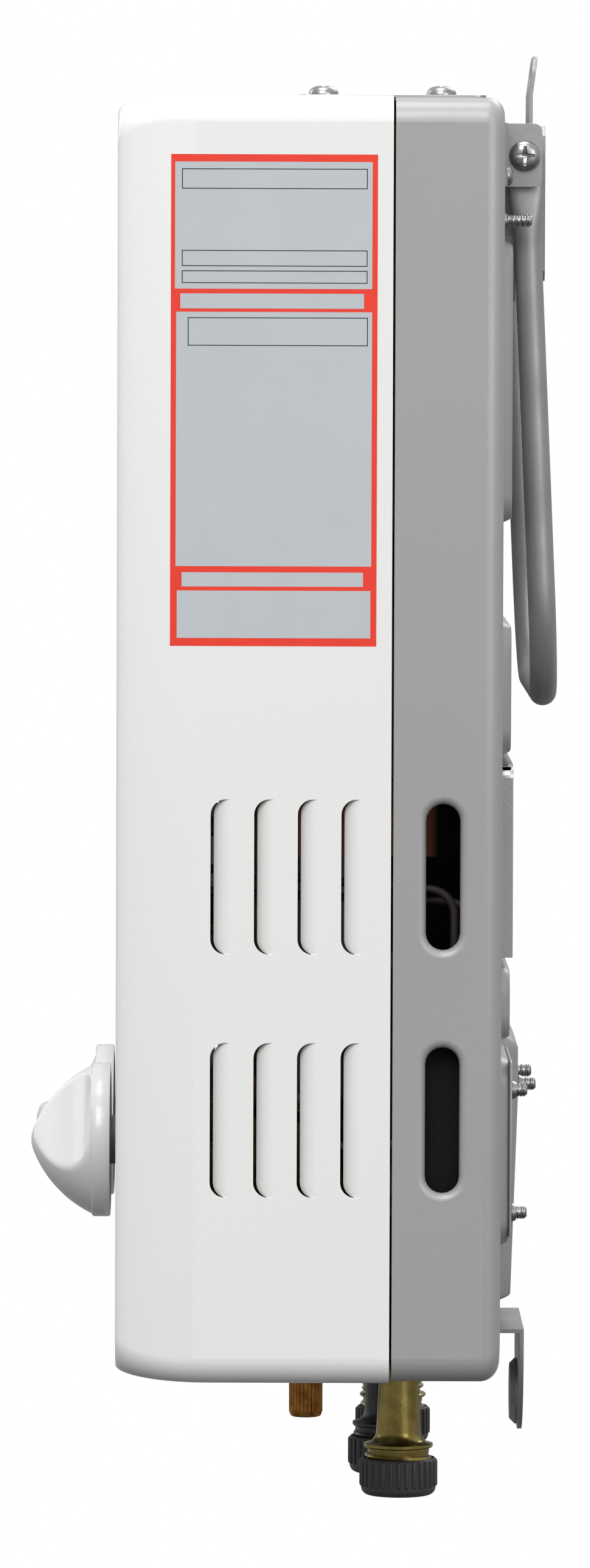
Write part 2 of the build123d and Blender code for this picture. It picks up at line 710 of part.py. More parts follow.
# ---------------------------------------------------------------- gas valve
gas_valve_left = -knob_x - 20.5
gas_valve_right = -knob_x + 21.5
valve_corner = 3.0
valve_boss_radius = 11.0
valve_boss_length = 4.0
gas_valve_back = manifold_y + 35.0
gas_valve_front = manifold_y - 7.0
gas_valve_bottom_drop = knob_drop + 22.3
rod_radius = 2.0
rod_y_place = gas_valve_back - 9.0
rod_drop = knob_drop + 12.3
rod_travel = 3.5
plunger_length = 26.0
solenoid_radius = 10.0
solenoid_x = gas_valve_left + 12.5
solenoid_drop = knob_drop + 2.8
solenoid_length = 25.0
solenoid_edge = 1.0
feed_radius = 5.0
feed_bend = 12.0
feed_x = gas_valve_right - 11.0
feed_drop = knob_drop + 9.3
fitting_top_drop = body_height - 14.0
spindle_length_in_valve = 12.0
collar_setback = 0.5
knob_rim = cover_front - knob_panel_gap


def gas_valve_body():
    block = slab(gas_valve_left, gas_valve_right, gas_valve_front, gas_valve_back,
                 gas_valve_top_drop, gas_valve_bottom_drop)
    block = chamfer(block.edges().filter_by(Axis.Z), valve_corner)
    boss_front = gas_valve_front - valve_boss_length
    block += rod_y(valve_boss_radius, boss_front, gas_valve_front, -knob_x, knob_drop)
    block -= rod_y(spindle_radius + running_gap, boss_front - overshoot,
                   gas_valve_front + spindle_length_in_valve, -knob_x, knob_drop)
    bore_end = gas_valve_right - plunger_length - rod_travel - overshoot
    block -= rod_x(rod_radius + running_gap, bore_end, gas_valve_right + overshoot, rod_y_place, rod_drop)
    return block


def gas_solenoid():
    can = rod_y(solenoid_radius, gas_valve_back, gas_valve_back + solenoid_length, solenoid_x, solenoid_drop)
    return chamfer(can.edges().group_by(Axis.Y)[-1], solenoid_edge)


def gas_plunger():
    return rod_x(rod_radius, gas_valve_right - plunger_length, gas_valve_right, rod_y_place, rod_drop)


def gas_feed_pipe():
    return pipe([
        (gas_x, gas_y, fitting_top_drop),
        (gas_x, gas_y, feed_drop),
        (feed_x, gas_y, feed_drop),
        (feed_x, gas_valve_back, feed_drop),
    ], [feed_bend, feed_bend], feed_radius)


def spindle(x, valve_front):
    """Shaft from inside the valve to inside the knob, with the collar that shows behind the knob."""
    hub_rear = knob_rim - knob_hub_setback
    shaft = rod_y(spindle_radius, hub_rear - knob_bore_depth + fit_gap, valve_front + spindle_length_in_valve,
                  x, knob_drop)
    return shaft + rod_y(spindle_collar_radius, hub_rear, valve_front - collar_setback, x, knob_drop)


write_node("gas_valve_body", gas_valve_body())
write_node("gas_solenoid", gas_solenoid())
write_node("gas_plunger", gas_plunger())
write_node("gas_feed_pipe", gas_feed_pipe())
write_node("gas_spindle", spindle(-knob_x, gas_valve_front - valve_boss_length))

# ---------------------------------------------------------------- water valve
water_left = knob_x - 17.5
water_right = knob_x + 16.5
water_front = manifold_y - 3.0
water_back = manifold_y + 45.0
water_top_drop = knob_drop - 12.7
water_bottom_drop = knob_drop + 33.3
drum_radius = 26.0
drum_end = water_right + 10.0
drum_floor = 2.0
drum_wall = 4.0
membrane = 2.0
drum_cover_depth = 12.0
arm_top_drop = rod_drop + 7.0
arm_bottom_drop = arm_top_drop + 18.0
arm_half = 9.0
arm_root = 12.0
inlet_boss_radius = 10.0
drain_boss_radius = 8.0
drain_boss_bottom_drop = body_height - 10.0
drain_stem_length = 14.0
drain_seat = 2.0              # bore beyond the stem
drain_edge = 1.0
drain_stem_radius = 4.0
disc_radius = 16.0
disc_depth = 2.5
collar_x = gas_valve_right + 16.5
collar_radius = 5.0
collar_length = 3.0


def water_valve_body():
    block = slab(water_left, water_right, water_front, water_back, water_top_drop, water_bottom_drop)
    block = chamfer(block.edges().filter_by(Axis.X), valve_corner)
    drum = rod_x(drum_radius, water_right, drum_end, rod_y_place, rod_drop)
    arm = slab(water_right - arm_root, inlet_x + inlet_boss_radius,
               fitting_y - arm_half, fitting_y + arm_half,
               arm_top_drop, arm_bottom_drop)
    link = slab(water_right - arm_root, water_right, water_back - overshoot, fitting_y, arm_top_drop,
                water_bottom_drop)
    boss = rod_z(inlet_boss_radius, arm_top_drop, fitting_top_drop, inlet_x, fitting_y)
    drain_boss = rod_z(drain_boss_radius, water_bottom_drop - overshoot, drain_boss_bottom_drop,
                       drain_x, drain_y)
    boss_front = water_front - valve_boss_length
    front_boss = rod_y(valve_boss_radius, boss_front, water_front, knob_x, knob_drop)
    body = block + drum + arm + link + boss + drain_boss + front_boss
    body -= rod_x(drum_radius - drum_wall, water_right + drum_floor, drum_end + overshoot,
                  rod_y_place, rod_drop)
    body -= rod_x(rod_radius + running_gap, water_left - overshoot, water_right + drum_floor + overshoot,
                  rod_y_place, rod_drop)
    body -= rod_y(spindle_radius + running_gap, boss_front - overshoot, water_front + spindle_length_in_valve,
                  knob_x, knob_drop)
    body -= rod_z(drain_stem_radius + running_gap, drain_boss_bottom_drop - drain_stem_length - drain_seat,
                  drain_boss_bottom_drop + overshoot, drain_x, drain_y)
    return body


def diaphragm():
    return rod_x(drum_radius, drum_end, drum_end + membrane, rod_y_place, rod_drop)


def diaphragm_cover():
    start = drum_end + membrane
    cover = rod_x(drum_radius, start, start + drum_cover_depth, rod_y_place, rod_drop)
    cover = chamfer(cover.edges().group_by(Axis.X)[-1], valve_corner)
    return cover - rod_x(drum_radius - drum_wall, start - overshoot, start + drum_cover_depth - drum_wall,
                         rod_y_place, rod_drop)


def push_rod():
    """Rod with the disc that the diaphragm pushes and the collar that works the switch."""
    disc_end = drum_end - fit_gap
    rod = rod_x(rod_radius, gas_valve_right + fit_gap, disc_end, rod_y_place, rod_drop)
    disc = rod_x(disc_radius, disc_end - disc_depth, disc_end, rod_y_place, rod_drop)
    return rod + disc + rod_x(collar_radius, collar_x, collar_x + collar_length, rod_y_place, rod_drop)


def drain_plug():
    stem = rod_z(drain_stem_radius, drain_boss_bottom_drop - drain_stem_length,
                 drain_boss_bottom_drop + overshoot, drain_x, drain_y)
    head = rod_z(drain_radius, drain_boss_bottom_drop + fit_gap, drain_bottom_drop, drain_x, drain_y)
    head = chamfer(head.edges().group_by(Axis.Z)[0], drain_edge)
    return stem + head


write_node("water_valve_body", water_valve_body())
write_node("diaphragm", diaphragm())
write_node("diaphragm_cover", diaphragm_cover())
write_node("push_rod", push_rod())
write_node("drain_plug", drain_plug())
write_node("water_spindle", spindle(knob_x, water_front - valve_boss_length))

switch_left = gas_valve_right + 10.0
switch_half = 5.0
switch_bottom_drop = rod_drop - 18.0
switch_top_drop = switch_bottom_drop - 10.0
lever_sheet = 0.8
lever_x = collar_x - fit_gap - lever_sheet
lever_half = 3.0
lever_pin_radius = 1.0
lever_pin_x = lever_x + lever_sheet / 2
lever_pin_drop = rod_drop - 14.5
lever_tip_drop = rod_drop - rod_radius - overshoot
switch_ear = 1.5


def micro_switch():
    case = slab(switch_left, water_left, rod_y_place - switch_half, rod_y_place + switch_half,
                switch_top_drop, switch_bottom_drop)
    ears = []
    for hand in (-1, 1):
        low, high = sorted(rod_y_place + hand * (switch_half - inset) for inset in (0, switch_ear))
        ear = slab(lever_pin_x - 2 * lever_pin_radius, lever_pin_x + 2 * lever_pin_radius, low, high,
                   switch_bottom_drop - overshoot, lever_pin_drop + 2 * lever_pin_radius)
        ears.append(ear - rod_y(lever_pin_radius + running_gap, low - overshoot, high + overshoot,
                                lever_pin_x, lever_pin_drop))
    return case + ears


def switch_lever():
    """Spring blade hung on a pin between the switch's ears."""
    arm = slab(lever_x, lever_x + lever_sheet, rod_y_place - lever_half, rod_y_place + lever_half,
               lever_pin_drop, lever_tip_drop)
    return arm + rod_y(lever_pin_radius, rod_y_place - switch_half, rod_y_place + switch_half, lever_pin_x,
                       lever_pin_drop)


write_node("micro_switch", micro_switch())
write_node("switch_lever", switch_lever())

# ---------------------------------------------------------------- pipes
pipe_bend = 9.0
cold_turn_drop = water_top_drop - 18.0
hot_turn_drop = fitting_top_drop - 18.0


def cold_pipe():
    """From the top of the water valve to the coil's inlet end."""
    y = coil_ys[0]
    return pipe([
        (drain_x, y, water_top_drop),
        (drain_x, y, cold_turn_drop),
        (pipe_x, y, cold_turn_drop),
        (pipe_x, y, coil_drop),
        (pipe_joint_x, y, coil_drop),
    ], pipe_bend, pipe_radius)


def hot_pipe():
    """From the coil's outlet end down to the outlet fitting."""
    y = coil_ys[2]
    return pipe([
        (-pipe_joint_x, y, coil_drop),
        (-pipe_x, y, coil_drop),
        (-pipe_x, y, hot_turn_drop),
        (outlet_x, y, hot_turn_drop),
        (outlet_x, y, fitting_top_drop),
    ], pipe_bend, pipe_radius)


write_node("cold_pipe", cold_pipe())
write_node("hot_pipe", hot_pipe())

# ---------------------------------------------------------------- fittings and caps
neck_radius = 5.6
neck_base_radius = 6.8
flange_radius = 10.5
flange_top_drop = body_height + 26.3
flange_bottom_drop = flange_top_drop + 1.2
neck_flare = 3.8              # length over which the neck widens to the flange
neck_flare_steps = 5
barrel_radius = 9.9           # straight threaded tail of the hot outlet
barrel_gap = 0.5              # below the case
groove_radius = 9.4
groove_width = 1.2
thread_radius = 10.3
fitting_bore = 7.0
neck_bore = 3.5
bore_step = 4.0
seat_radius = 8.0
seat_depth = 6.0
seat_slope = 2.0
cap_radius = 11.4
cap_rib_height = 0.55
cap_rib_width = 1.0
cap_rib_count = 30
cap_top_drop = flange_bottom_drop + 3.1
cap_bottom_drop = fitting_bottom_drop + 1.1
cap_floor = 1.0
cap_round = 2.4
cap_rib_margin = 0.5          # ribs stop short of the cap's edges


def flared_neck():
    """Slim neck that flares in a hollow curve to the flange; a list of (radius, drop)."""
    widening = flange_radius - neck_base_radius
    curve = [(neck_radius, body_height), (neck_base_radius, flange_top_drop - neck_flare)]
    for n in range(1, neck_flare_steps + 1):
        share = n / neck_flare_steps
        hollow = 1 - math.sqrt(1 - share ** 2)
        curve.append((neck_base_radius + widening * hollow, flange_top_drop - neck_flare * (1 - share)))
    return curve


def straight_barrel():
    """Neck through the case and a straight threaded barrel below it."""
    start = body_height + barrel_gap
    return [(neck_radius, start), (barrel_radius, start), (barrel_radius, flange_top_drop)]


def threaded_fitting(x, y, tail):
    """Brass tail: seat, neck, flange, groove and the threaded end."""
    outline = [
        (neck_bore, fitting_top_drop),
        (seat_radius, fitting_top_drop),
        (seat_radius, fitting_top_drop + seat_depth),
        (neck_radius, fitting_top_drop + seat_depth + seat_slope),
        *tail,
        (flange_radius, flange_bottom_drop),
        (groove_radius, flange_bottom_drop),
        (groove_radius, flange_bottom_drop + groove_width),
        (thread_radius, flange_bottom_drop + groove_width),
        (thread_radius, fitting_bottom_drop - fit_gap),
        (fitting_bore, fitting_bottom_drop - fit_gap),
        (fitting_bore, flange_top_drop),
        (neck_bore, flange_top_drop - bore_step),
    ]
    return turned(outline, x, y)


def ribbed_cap(x, y):
    cap = rod_z(cap_radius, cap_top_drop, cap_bottom_drop, x, y)
    cap = fillet(cap.edges().group_by(Axis.Z)[0], cap_round)
    rib_length = cap_bottom_drop - cap_top_drop - cap_round - 2 * cap_rib_margin
    rib_middle = top_z - cap_top_drop - cap_rib_margin - rib_length / 2
    rib = Pos(cap_radius, 0, 0) * Box(2 * cap_rib_height, cap_rib_width, rib_length)
    cap += [Pos(x, y, rib_middle) * Rot(0, 0, n * 360 / cap_rib_count) * rib for n in range(cap_rib_count)]
    return cap - rod_z(thread_radius + running_gap, cap_top_drop - overshoot, cap_bottom_drop - cap_floor,
                       x, y)


for water_or_gas, x, y, tail in (("cold_inlet", inlet_x, fitting_y, flared_neck()),
                                 ("hot_outlet", outlet_x, coil_ys[2], straight_barrel()),
                                 ("gas_inlet", gas_x, gas_y, flared_neck())):
    write_node(f"{water_or_gas}_fitting", threaded_fitting(x, y, tail))
    write_node(f"{water_or_gas}_cap", ribbed_cap(x, y))


# ---------------------------------------------------------------- knobs
def knob(x, turn):
    """Domed knob with two finger scoops that leave a grip ridge, hollow behind, with a hub."""
    dome_radius = knob_radius - knob_dome_step
    nose_centre = knob_depth - knob_nose
    # the flank's centre lies on a circle round the nose's centre and round the dome's edge
    apart = knob_flank - knob_nose
    fall = nose_centre - knob_skirt
    reach = math.hypot(dome_radius, fall)
    along = (apart ** 2 - knob_flank ** 2 + reach ** 2) / (2 * reach)
    aside = math.sqrt(apart ** 2 - along ** 2)
    flank_x = (along * dome_radius - aside * fall) / reach
    flank_z = nose_centre - (along * fall + aside * dome_radius) / reach
    edge = math.degrees(math.atan2(knob_skirt - flank_z, dome_radius - flank_x))
    join = math.degrees(math.atan2(nose_centre - flank_z, -flank_x))
    dome = CenterArc((flank_x, flank_z), knob_flank, edge, join - edge)
    dome += CenterArc((0, nose_centre), knob_nose, join, 90 - join)
    walls = Polyline((0, knob_depth), (0, 0), (knob_radius, 0), (knob_radius, knob_skirt),
                     (dome_radius, knob_skirt))
    shape = revolve(Plane.XZ * make_face(walls + dome), axis=Axis.Z)
    for hand in (-1, 1):
        centre = (hand * (knob_grip_half + knob_scoop_radius), 0, knob_depth + knob_scoop_rise)
        shape -= Pos(*centre) * Rot(90, 0, 0) * Cylinder(knob_scoop_radius, 4 * knob_radius)
    shape -= Pos(0, 0, knob_hollow / 2) * Cylinder(knob_radius - knob_wall, knob_hollow)
    hub_length = knob_hollow - knob_hub_setback
    shape += Pos(0, 0, knob_hub_setback + hub_length / 2) * Cylinder(knob_hub_radius, hub_length)
    bore_middle = Pos(0, 0, knob_hub_setback + knob_bore_depth / 2)
    bore = bore_middle * Cylinder(spindle_radius + running_gap, knob_bore_depth)
    return Pos(x, knob_rim, top_z - knob_drop) * Rot(90, 0, 0) * Rot(0, 0, turn) * (shape - bore)


write_node("gas_knob", knob(-knob_x, gas_knob_turn))
write_node("water_knob", knob(knob_x, water_knob_turn))

# ---------------------------------------------------------------- sight window
bezel_proud = 1.2
bezel_lip = 4.0
bezel_wall = 2.0
bezel_depth = 4.0             # neck inside the cover
glass_setback = 1.0
glass_thickness = 2.0


def stadium_bar(width, height, y_low, y_high):
    outline = Pos(0, top_z - window_drop) * SlotOverall(width, height)
    return extrude(Plane.XZ.offset(-y_high) * outline, y_high - y_low)


def window_bezel():
    flange = stadium_bar(window_width + 2 * bezel_lip, window_height + 2 * bezel_lip,
                         cover_front - bezel_proud, cover_front)
    neck = stadium_bar(window_width - 2 * running_gap, window_height - 2 * running_gap,
                       cover_front, cover_front + bezel_depth)
    return flange + neck - stadium_bar(window_width - 2 * bezel_wall, window_height - 2 * bezel_wall,
                                       cover_front - 2 * bezel_proud, cover_front + bezel_depth + overshoot)


def window_glass():
    clear = 2 * (bezel_wall + running_gap)
    front = cover_front + glass_setback
    return stadium_bar(window_width - clear, window_height - clear, front, front + glass_thickness)


write_node("window_bezel", window_bezel())
write_node("window_glass", window_glass())

# ---------------------------------------------------------------- battery box
box_height = 63.0
box_bottom_drop = body_height - 2.0
box_top_drop = box_bottom_drop - box_height
box_wall = 1.2
cell_radius = 16.6
cell_length = 61.2
door_thickness = 1.6


def battery_box():
    outer = slab(battery_left, battery_right, battery_front, battery_back, box_top_drop, box_bottom_drop)
    return outer - slab(battery_left + box_wall, battery_right - box_wall, battery_front + box_wall,
                        battery_back - box_wall, box_top_drop + box_wall, box_bottom_drop + overshoot)


def batteries():
    middle_x, y = (battery_left + battery_right) / 2, (battery_front + battery_back) / 2
    top = box_top_drop + box_wall
    return Part() + [rod_z(cell_radius, top, top + cell_length, middle_x + hand * (cell_radius + fit_gap), y)
                     for hand in (-1, 1)]


def battery_door():
    """Flap whose rear edge is the round barrel that it swings on."""
    edge = door_ledge + door_gap
    low, high = battery_left + edge, battery_right - edge
    barrel_y = battery_back - edge - door_thickness / 2
    flap = slab(low, high, battery_front + edge, barrel_y, body_height - door_thickness, body_height)
    return flap + rod_x(door_thickness / 2, low, high, barrel_y, body_height - door_thickness / 2)


write_node("battery_box", battery_box())
write_node("batteries", batteries())
write_node("battery_door", battery_door())

# ---------------------------------------------------------------- hanger and handle
ear_outer_x = half_width - 50.0
ear_sheet = 1.5
ear_depth = 12.2
ear_top_drop = 7.5
ear_bottom_drop = 26.5
ear_corner = 2.5
ear_foot_width = 14.0
ear_foot_screw_drop = 23.3
ear_foot_screw_x = ear_outer_x + 8.0
pivot_behind_pan = 7.0
pivot_drop = 17.2
pivot_radius = 2.5
handle_rod_radius = 4.15
handle_side_gap = 0.6
handle_drop = 162.5           # pivot to the middle of the crossbar
handle_bend = 32.0
handle_lean = math.radians(2.5)
handle_eye_radius = 6.0
handle_eye_half = 2.6
handle_tail_half = 3.9        # flattened bar next to the eye
foot_screw_radius = 1.5
foot_head_radius = 3.0
foot_head_height = 1.8
pivot_head_radius = 4.7
pivot_nut = 3.0
pivot_nut_radius = 4.5
pivot_end = 0.6               # screw beyond its nut
hanger_handle_gap = 5.6
hanger_corner = 3.0
tongue_corner = 5.0
kink_filler = 0.3

pivot_y = pan_back + pivot_behind_pan
leg_x = ear_outer_x - ear_sheet - handle_side_gap - handle_rod_radius
hanger_half_width = leg_x - handle_rod_radius - hanger_handle_gap


def behind(depth):
    """Y of a plane that lies a depth behind the pan's back."""
    return pan_back + depth


def hanger_bracket():
    """Plate on the wall side, two side walls with feet on the pan, and the leaning tongue with its hole."""
    plate_front = wall_standoff - hanger_plate
    plate = slab(-hanger_half_width, hanger_half_width, behind(plate_front), behind(wall_standoff),
                 hanger_top_drop, hanger_bottom_drop)
    plate = chamfer(plate.edges().filter_by(Axis.Y), hanger_corner)
    step_drop = pad_drops[0][0] - fit_gap
    wall = slab(hanger_half_width - hanger_plate, hanger_half_width, behind(0), behind(wall_standoff),
                hanger_side_top_drop, step_drop)
    wall += slab(hanger_half_width - hanger_plate, hanger_half_width,
                 behind(pad_proud), behind(wall_standoff),
                 hanger_side_top_drop, hanger_bottom_drop - hanger_corner)
    foot = slab(hanger_half_width - hanger_foot_width, hanger_half_width, behind(0), behind(hanger_plate),
                hanger_side_top_drop, step_drop)
    foot += slab(hanger_half_width - hanger_foot_width, hanger_half_width, behind(pad_proud),
                 behind(pad_proud + hanger_plate), step_drop + pad_proud, hanger_foot_bottom_drop)
    tongue_front = tongue_rear - hanger_plate
    step = slab(-tongue_width / 2, tongue_width / 2, behind(tongue_front), behind(wall_standoff),
                hanger_top_drop, hanger_top_drop + hanger_plate)
    upright = slab(-tongue_width / 2, tongue_width / 2, behind(tongue_front), behind(tongue_rear),
                   tongue_kink_drop, hanger_top_drop + hanger_plate)
    lean_length = (tongue_kink_drop - tongue_tip_drop) / math.cos(tongue_lean)
    blade = Pos(0, -hanger_plate / 2, lean_length / 2) * Box(tongue_width, hanger_plate, lean_length)
    blade = fillet(blade.edges().filter_by(Axis.Y).group_by(Axis.Z)[-1], tongue_corner)
    kink = Pos(0, behind(tongue_rear), top_z - tongue_kink_drop)
    blade = kink * Rot(-math.degrees(tongue_lean), 0, 0) * blade
    filler = Pos(0, behind(tongue_rear) - hanger_plate / 2, top_z - tongue_kink_drop) * Box(
        tongue_width, hanger_plate, kink_filler)
    bracket = plate + both_sides(wall + foot) + step + upright + blade + filler
    hole = Rot(90 - math.degrees(tongue_lean), 0, 0) * Cylinder(hanging_hole_radius, 4 * hanger_plate)
    return bracket - hole


def handle_ears():
    ear = slab(ear_outer_x - ear_sheet, ear_outer_x, behind(0), behind(ear_depth),
               ear_top_drop, ear_bottom_drop)
    ear = fillet(ear.edges().filter_by(Axis.X).group_by(Axis.Y)[-1], ear_corner)
    foot = slab(ear_outer_x - ear_sheet, ear_outer_x + ear_foot_width, behind(0), behind(ear_sheet),
                ear_top_drop, ear_bottom_drop)
    ear = ear + foot
    ear -= rod_x(pivot_radius + running_gap, ear_outer_x - 2 * ear_sheet, ear_outer_x + overshoot,
                 pivot_y, pivot_drop)
    ear -= rod_y(foot_screw_radius + running_gap, behind(-overshoot), behind(2 * ear_sheet), ear_foot_screw_x,
                 ear_foot_screw_drop)
    return both_sides(ear)


def ear_foot_screws():
    screw = pan_screw(foot_screw_radius, ear_sheet, foot_head_radius, foot_head_height)
    place = Pos(ear_foot_screw_x, behind(ear_sheet), top_z - ear_foot_screw_drop) * Rot(-90, 0, 0)
    return both_sides(place * screw)


def handle_pivot_screws():
    """Pan-head pivot screws with a nut inside the handle's eye."""
    length = ear_sheet + handle_side_gap + handle_rod_radius + handle_eye_half + pivot_nut + pivot_end
    screw = pan_screw(pivot_radius, length, pivot_head_radius, pan_head_height)
    place = Pos(ear_outer_x, pivot_y, top_z - pivot_drop) * Rot(0, 90, 0)
    nut_high = leg_x - handle_eye_half - fit_gap
    nut = extrude(Plane.YZ.offset(nut_high - pivot_nut) * Pos(pivot_y, top_z - pivot_drop)
                  * RegularPolygon(pivot_nut_radius, 6), pivot_nut)
    return both_sides(place * screw + nut)


def carry_handle():
    """U-shaped bar hanging from the ears, with flattened eyes round the pivot screws."""
    pivot_z = top_z - pivot_drop
    low = pivot_z - handle_drop
    start = pivot_z - handle_eye_radius
    route = FilletPolyline((leg_x, 0, start), (leg_x, 0, low), (-leg_x, 0, low), (-leg_x, 0, start),
                           radius=handle_bend)
    bar = sweep(Plane(route @ 0, z_dir=route % 0) * Circle(handle_rod_radius), path=route)
    eye = Pos(leg_x, 0, pivot_z) * Rot(0, 90, 0) * Cylinder(handle_eye_radius, 2 * handle_eye_half)
    tail = Pos(leg_x, 0, pivot_z - handle_eye_radius) * Box(
        2 * handle_eye_half, 2 * handle_tail_half, handle_eye_radius + handle_eye_half)
    shape = bar + both_sides(eye + tail)
    shape -= both_sides(Pos(leg_x, 0, pivot_z) * Rot(0, 90, 0) * Cylinder(
        pivot_radius + running_gap, 4 * handle_rod_radius))
    hang = Pos(0, pivot_y, pivot_z) * Rot(math.degrees(handle_lean), 0, 0) * Pos(0, 0, -pivot_z)
    return hang * shape


write_node("hanger_bracket", hanger_bracket())
write_node("handle_ears", handle_ears())
write_node("ear_foot_screws", ear_foot_screws())
write_node("handle_pivot_screws", handle_pivot_screws())
write_node("carry_handle", carry_handle())

# ---------------------------------------------------------------- lower bracket
lower_half = 31.0
lower_sheet = 1.3
lower_standoff = 10.1
lower_foot_top_drop = body_height - 12.0
lower_shelf_drop = body_height - 4.6
lower_tip_drop = body_height + 29.5
lower_hole_drop = body_height + 18.0
lower_hole_radius = 3.2
lower_corner = 29.0           # the plate ends in a rounded tongue
boss_radius = 10.3
boss_height = 2.4
boss_slope = 0.7              # slope of the boss, as a share of its height
lower_screw_x = 20.0
lower_screw_drop = body_height - 8.0


def lower_bracket():
    """Foot on the pan, a shelf, and a plate that drops below the body with a raised boss round its hole."""
    foot = slab(-lower_half, lower_half, behind(0), behind(lower_sheet), lower_foot_top_drop,
                lower_shelf_drop + lower_sheet)
    shelf = slab(-lower_half, lower_half, behind(0), behind(lower_standoff), lower_shelf_drop,
                 lower_shelf_drop + lower_sheet)
    plate = slab(-lower_half, lower_half, behind(lower_standoff - lower_sheet), behind(lower_standoff),
                 lower_shelf_drop, lower_tip_drop)
    plate = fillet(plate.edges().filter_by(Axis.Y).group_by(Axis.Z)[0], lower_corner)
    face_y = behind(lower_standoff - lower_sheet)
    boss = rod_y(boss_radius, face_y - boss_height, face_y + lower_sheet, 0, lower_hole_drop)
    boss = chamfer(boss.edges().group_by(Axis.Y)[0], boss_height * boss_slope)
    hollow = rod_y(boss_radius - lower_sheet, face_y - boss_height, face_y + lower_sheet, 0, lower_hole_drop)
    hollow = Pos(0, lower_sheet, 0) * chamfer(
        hollow.edges().group_by(Axis.Y)[0], boss_height * boss_slope)
    bracket = foot + shelf + plate + boss - hollow
    bracket -= rod_y(lower_hole_radius, face_y - boss_height - overshoot, face_y + 2 * lower_sheet, 0,
                     lower_hole_drop)
    for x in (-lower_screw_x, lower_screw_x):
        bracket -= rod_y(foot_screw_radius + running_gap, behind(-overshoot), behind(2 * lower_sheet), x,
                         lower_screw_drop)
    return bracket


def lower_bracket_screws():
    screw = pan_screw(foot_screw_radius, lower_sheet, foot_head_radius, foot_head_height)
    place = Pos(lower_screw_x, behind(lower_sheet), top_z - lower_screw_drop) * Rot(-90, 0, 0)
    return both_sides(place * screw)


write_node("lower_bracket", lower_bracket())
write_node("lower_bracket_screws", lower_bracket_screws())

# ---------------------------------------------------------------- rear shield, rear plate and studs
shield_top_drop = pad_drops[1][1] + 1.5
shield_bottom_drop = pad_drops[2][0] - 2.0
shield_corner = 4.0
shield_depth = 4.2
shield_sheet = 0.8
plate_low_x = duct_half_width + 6.0
plate_high_x = pad_half_width - 1.0
plate_top_drop = pad_drops[3][0] + 2.0
plate_bottom_drop = pad_drops[3][1] - 4.0
plate_sheet = 0.8
stud_radius = 2.0
stud_collar_radius = 2.8
stud_collar_height = 1.5
stud_reach = 9.0
duct_stud_reach = 13.5
duct_stud_x = 25.0
duct_stud_drop = duct_top_drop + 20.0
upper_stud_x = pad_half_width - 1.0
upper_stud_drop = pad_drops[0][0] - 4.9
plate_stud_x = plate_high_x - 7.0
plate_stud_drops = (plate_top_drop + 9.0, plate_bottom_drop - 7.0)


def rear_shield():
    """Shallow pressed tray, open towards the pan."""
    outer = slab(-pad_half_width, pad_half_width, behind(0), behind(shield_depth),
                 shield_top_drop, shield_bottom_drop)
    outer = fillet(outer.edges().filter_by(Axis.Y).group_by(Axis.Z)[-1], shield_corner)
    inner = slab(-pad_half_width + shield_sheet, pad_half_width - shield_sheet, behind(-overshoot),
                 behind(shield_depth - shield_sheet), shield_top_drop + shield_sheet,
                 shield_bottom_drop - shield_sheet)
    return outer - inner


def rear_plate():
    plate = slab(plate_low_x, plate_high_x, behind(pad_proud), behind(pad_proud + plate_sheet),
                 plate_top_drop, plate_bottom_drop)
    for drop in plate_stud_drops:
        plate -= rod_y(stud_radius + running_gap, behind(pad_proud - overshoot),
                       behind(pad_proud + 2 * plate_sheet), plate_stud_x, drop)
    return plate


def stud(x, drop, seat, reach):
    """Screw end standing out of the back through its collar."""
    shaft = rod_y(stud_radius, behind(seat), behind(reach), x, drop)
    return shaft + rod_y(stud_collar_radius, behind(seat), behind(seat + stud_collar_height), x, drop)


def back_studs():
    studs = [stud(hand * upper_stud_x, upper_stud_drop, 0, stud_reach) for hand in (-1, 1)]
    studs += [stud(plate_stud_x, drop, pad_proud + plate_sheet, stud_reach) for drop in plate_stud_drops]
    studs += [stud(-plate_stud_x, drop, pad_proud, stud_reach) for drop in plate_stud_drops]
    studs += [stud(hand * duct_stud_x, duct_stud_drop, duct_proud, duct_stud_reach) for hand in (-1, 1)]
    return Part() + studs


write_node("rear_shield", rear_shield())
write_node("rear_plate", rear_plate())
write_node("back_studs", back_studs())
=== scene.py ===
import bpy
import bmesh
from math import atan, copysign, cos, hypot, pi, radians, sin, sqrt
from mathutils import Matrix, Vector
from mathutils.geometry import delaunay_2d_cdt


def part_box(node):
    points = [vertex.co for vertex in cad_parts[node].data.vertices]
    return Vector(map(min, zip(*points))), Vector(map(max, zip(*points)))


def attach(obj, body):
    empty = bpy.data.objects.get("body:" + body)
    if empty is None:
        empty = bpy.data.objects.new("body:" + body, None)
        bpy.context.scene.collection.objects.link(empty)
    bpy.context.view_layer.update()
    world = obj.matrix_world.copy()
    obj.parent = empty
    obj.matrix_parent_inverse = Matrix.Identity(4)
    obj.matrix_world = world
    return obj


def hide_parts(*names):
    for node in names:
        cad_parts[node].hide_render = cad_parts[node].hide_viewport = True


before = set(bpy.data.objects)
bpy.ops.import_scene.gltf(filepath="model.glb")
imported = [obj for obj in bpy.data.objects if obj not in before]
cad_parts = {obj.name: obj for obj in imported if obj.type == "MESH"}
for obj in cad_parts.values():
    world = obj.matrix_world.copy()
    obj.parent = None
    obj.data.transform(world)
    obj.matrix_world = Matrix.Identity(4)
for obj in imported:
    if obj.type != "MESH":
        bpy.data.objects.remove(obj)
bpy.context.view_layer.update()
mm = 0.001
sides = (-1, 1)
inlets = ("cold_inlet", "hot_outlet", "gas_inlet")

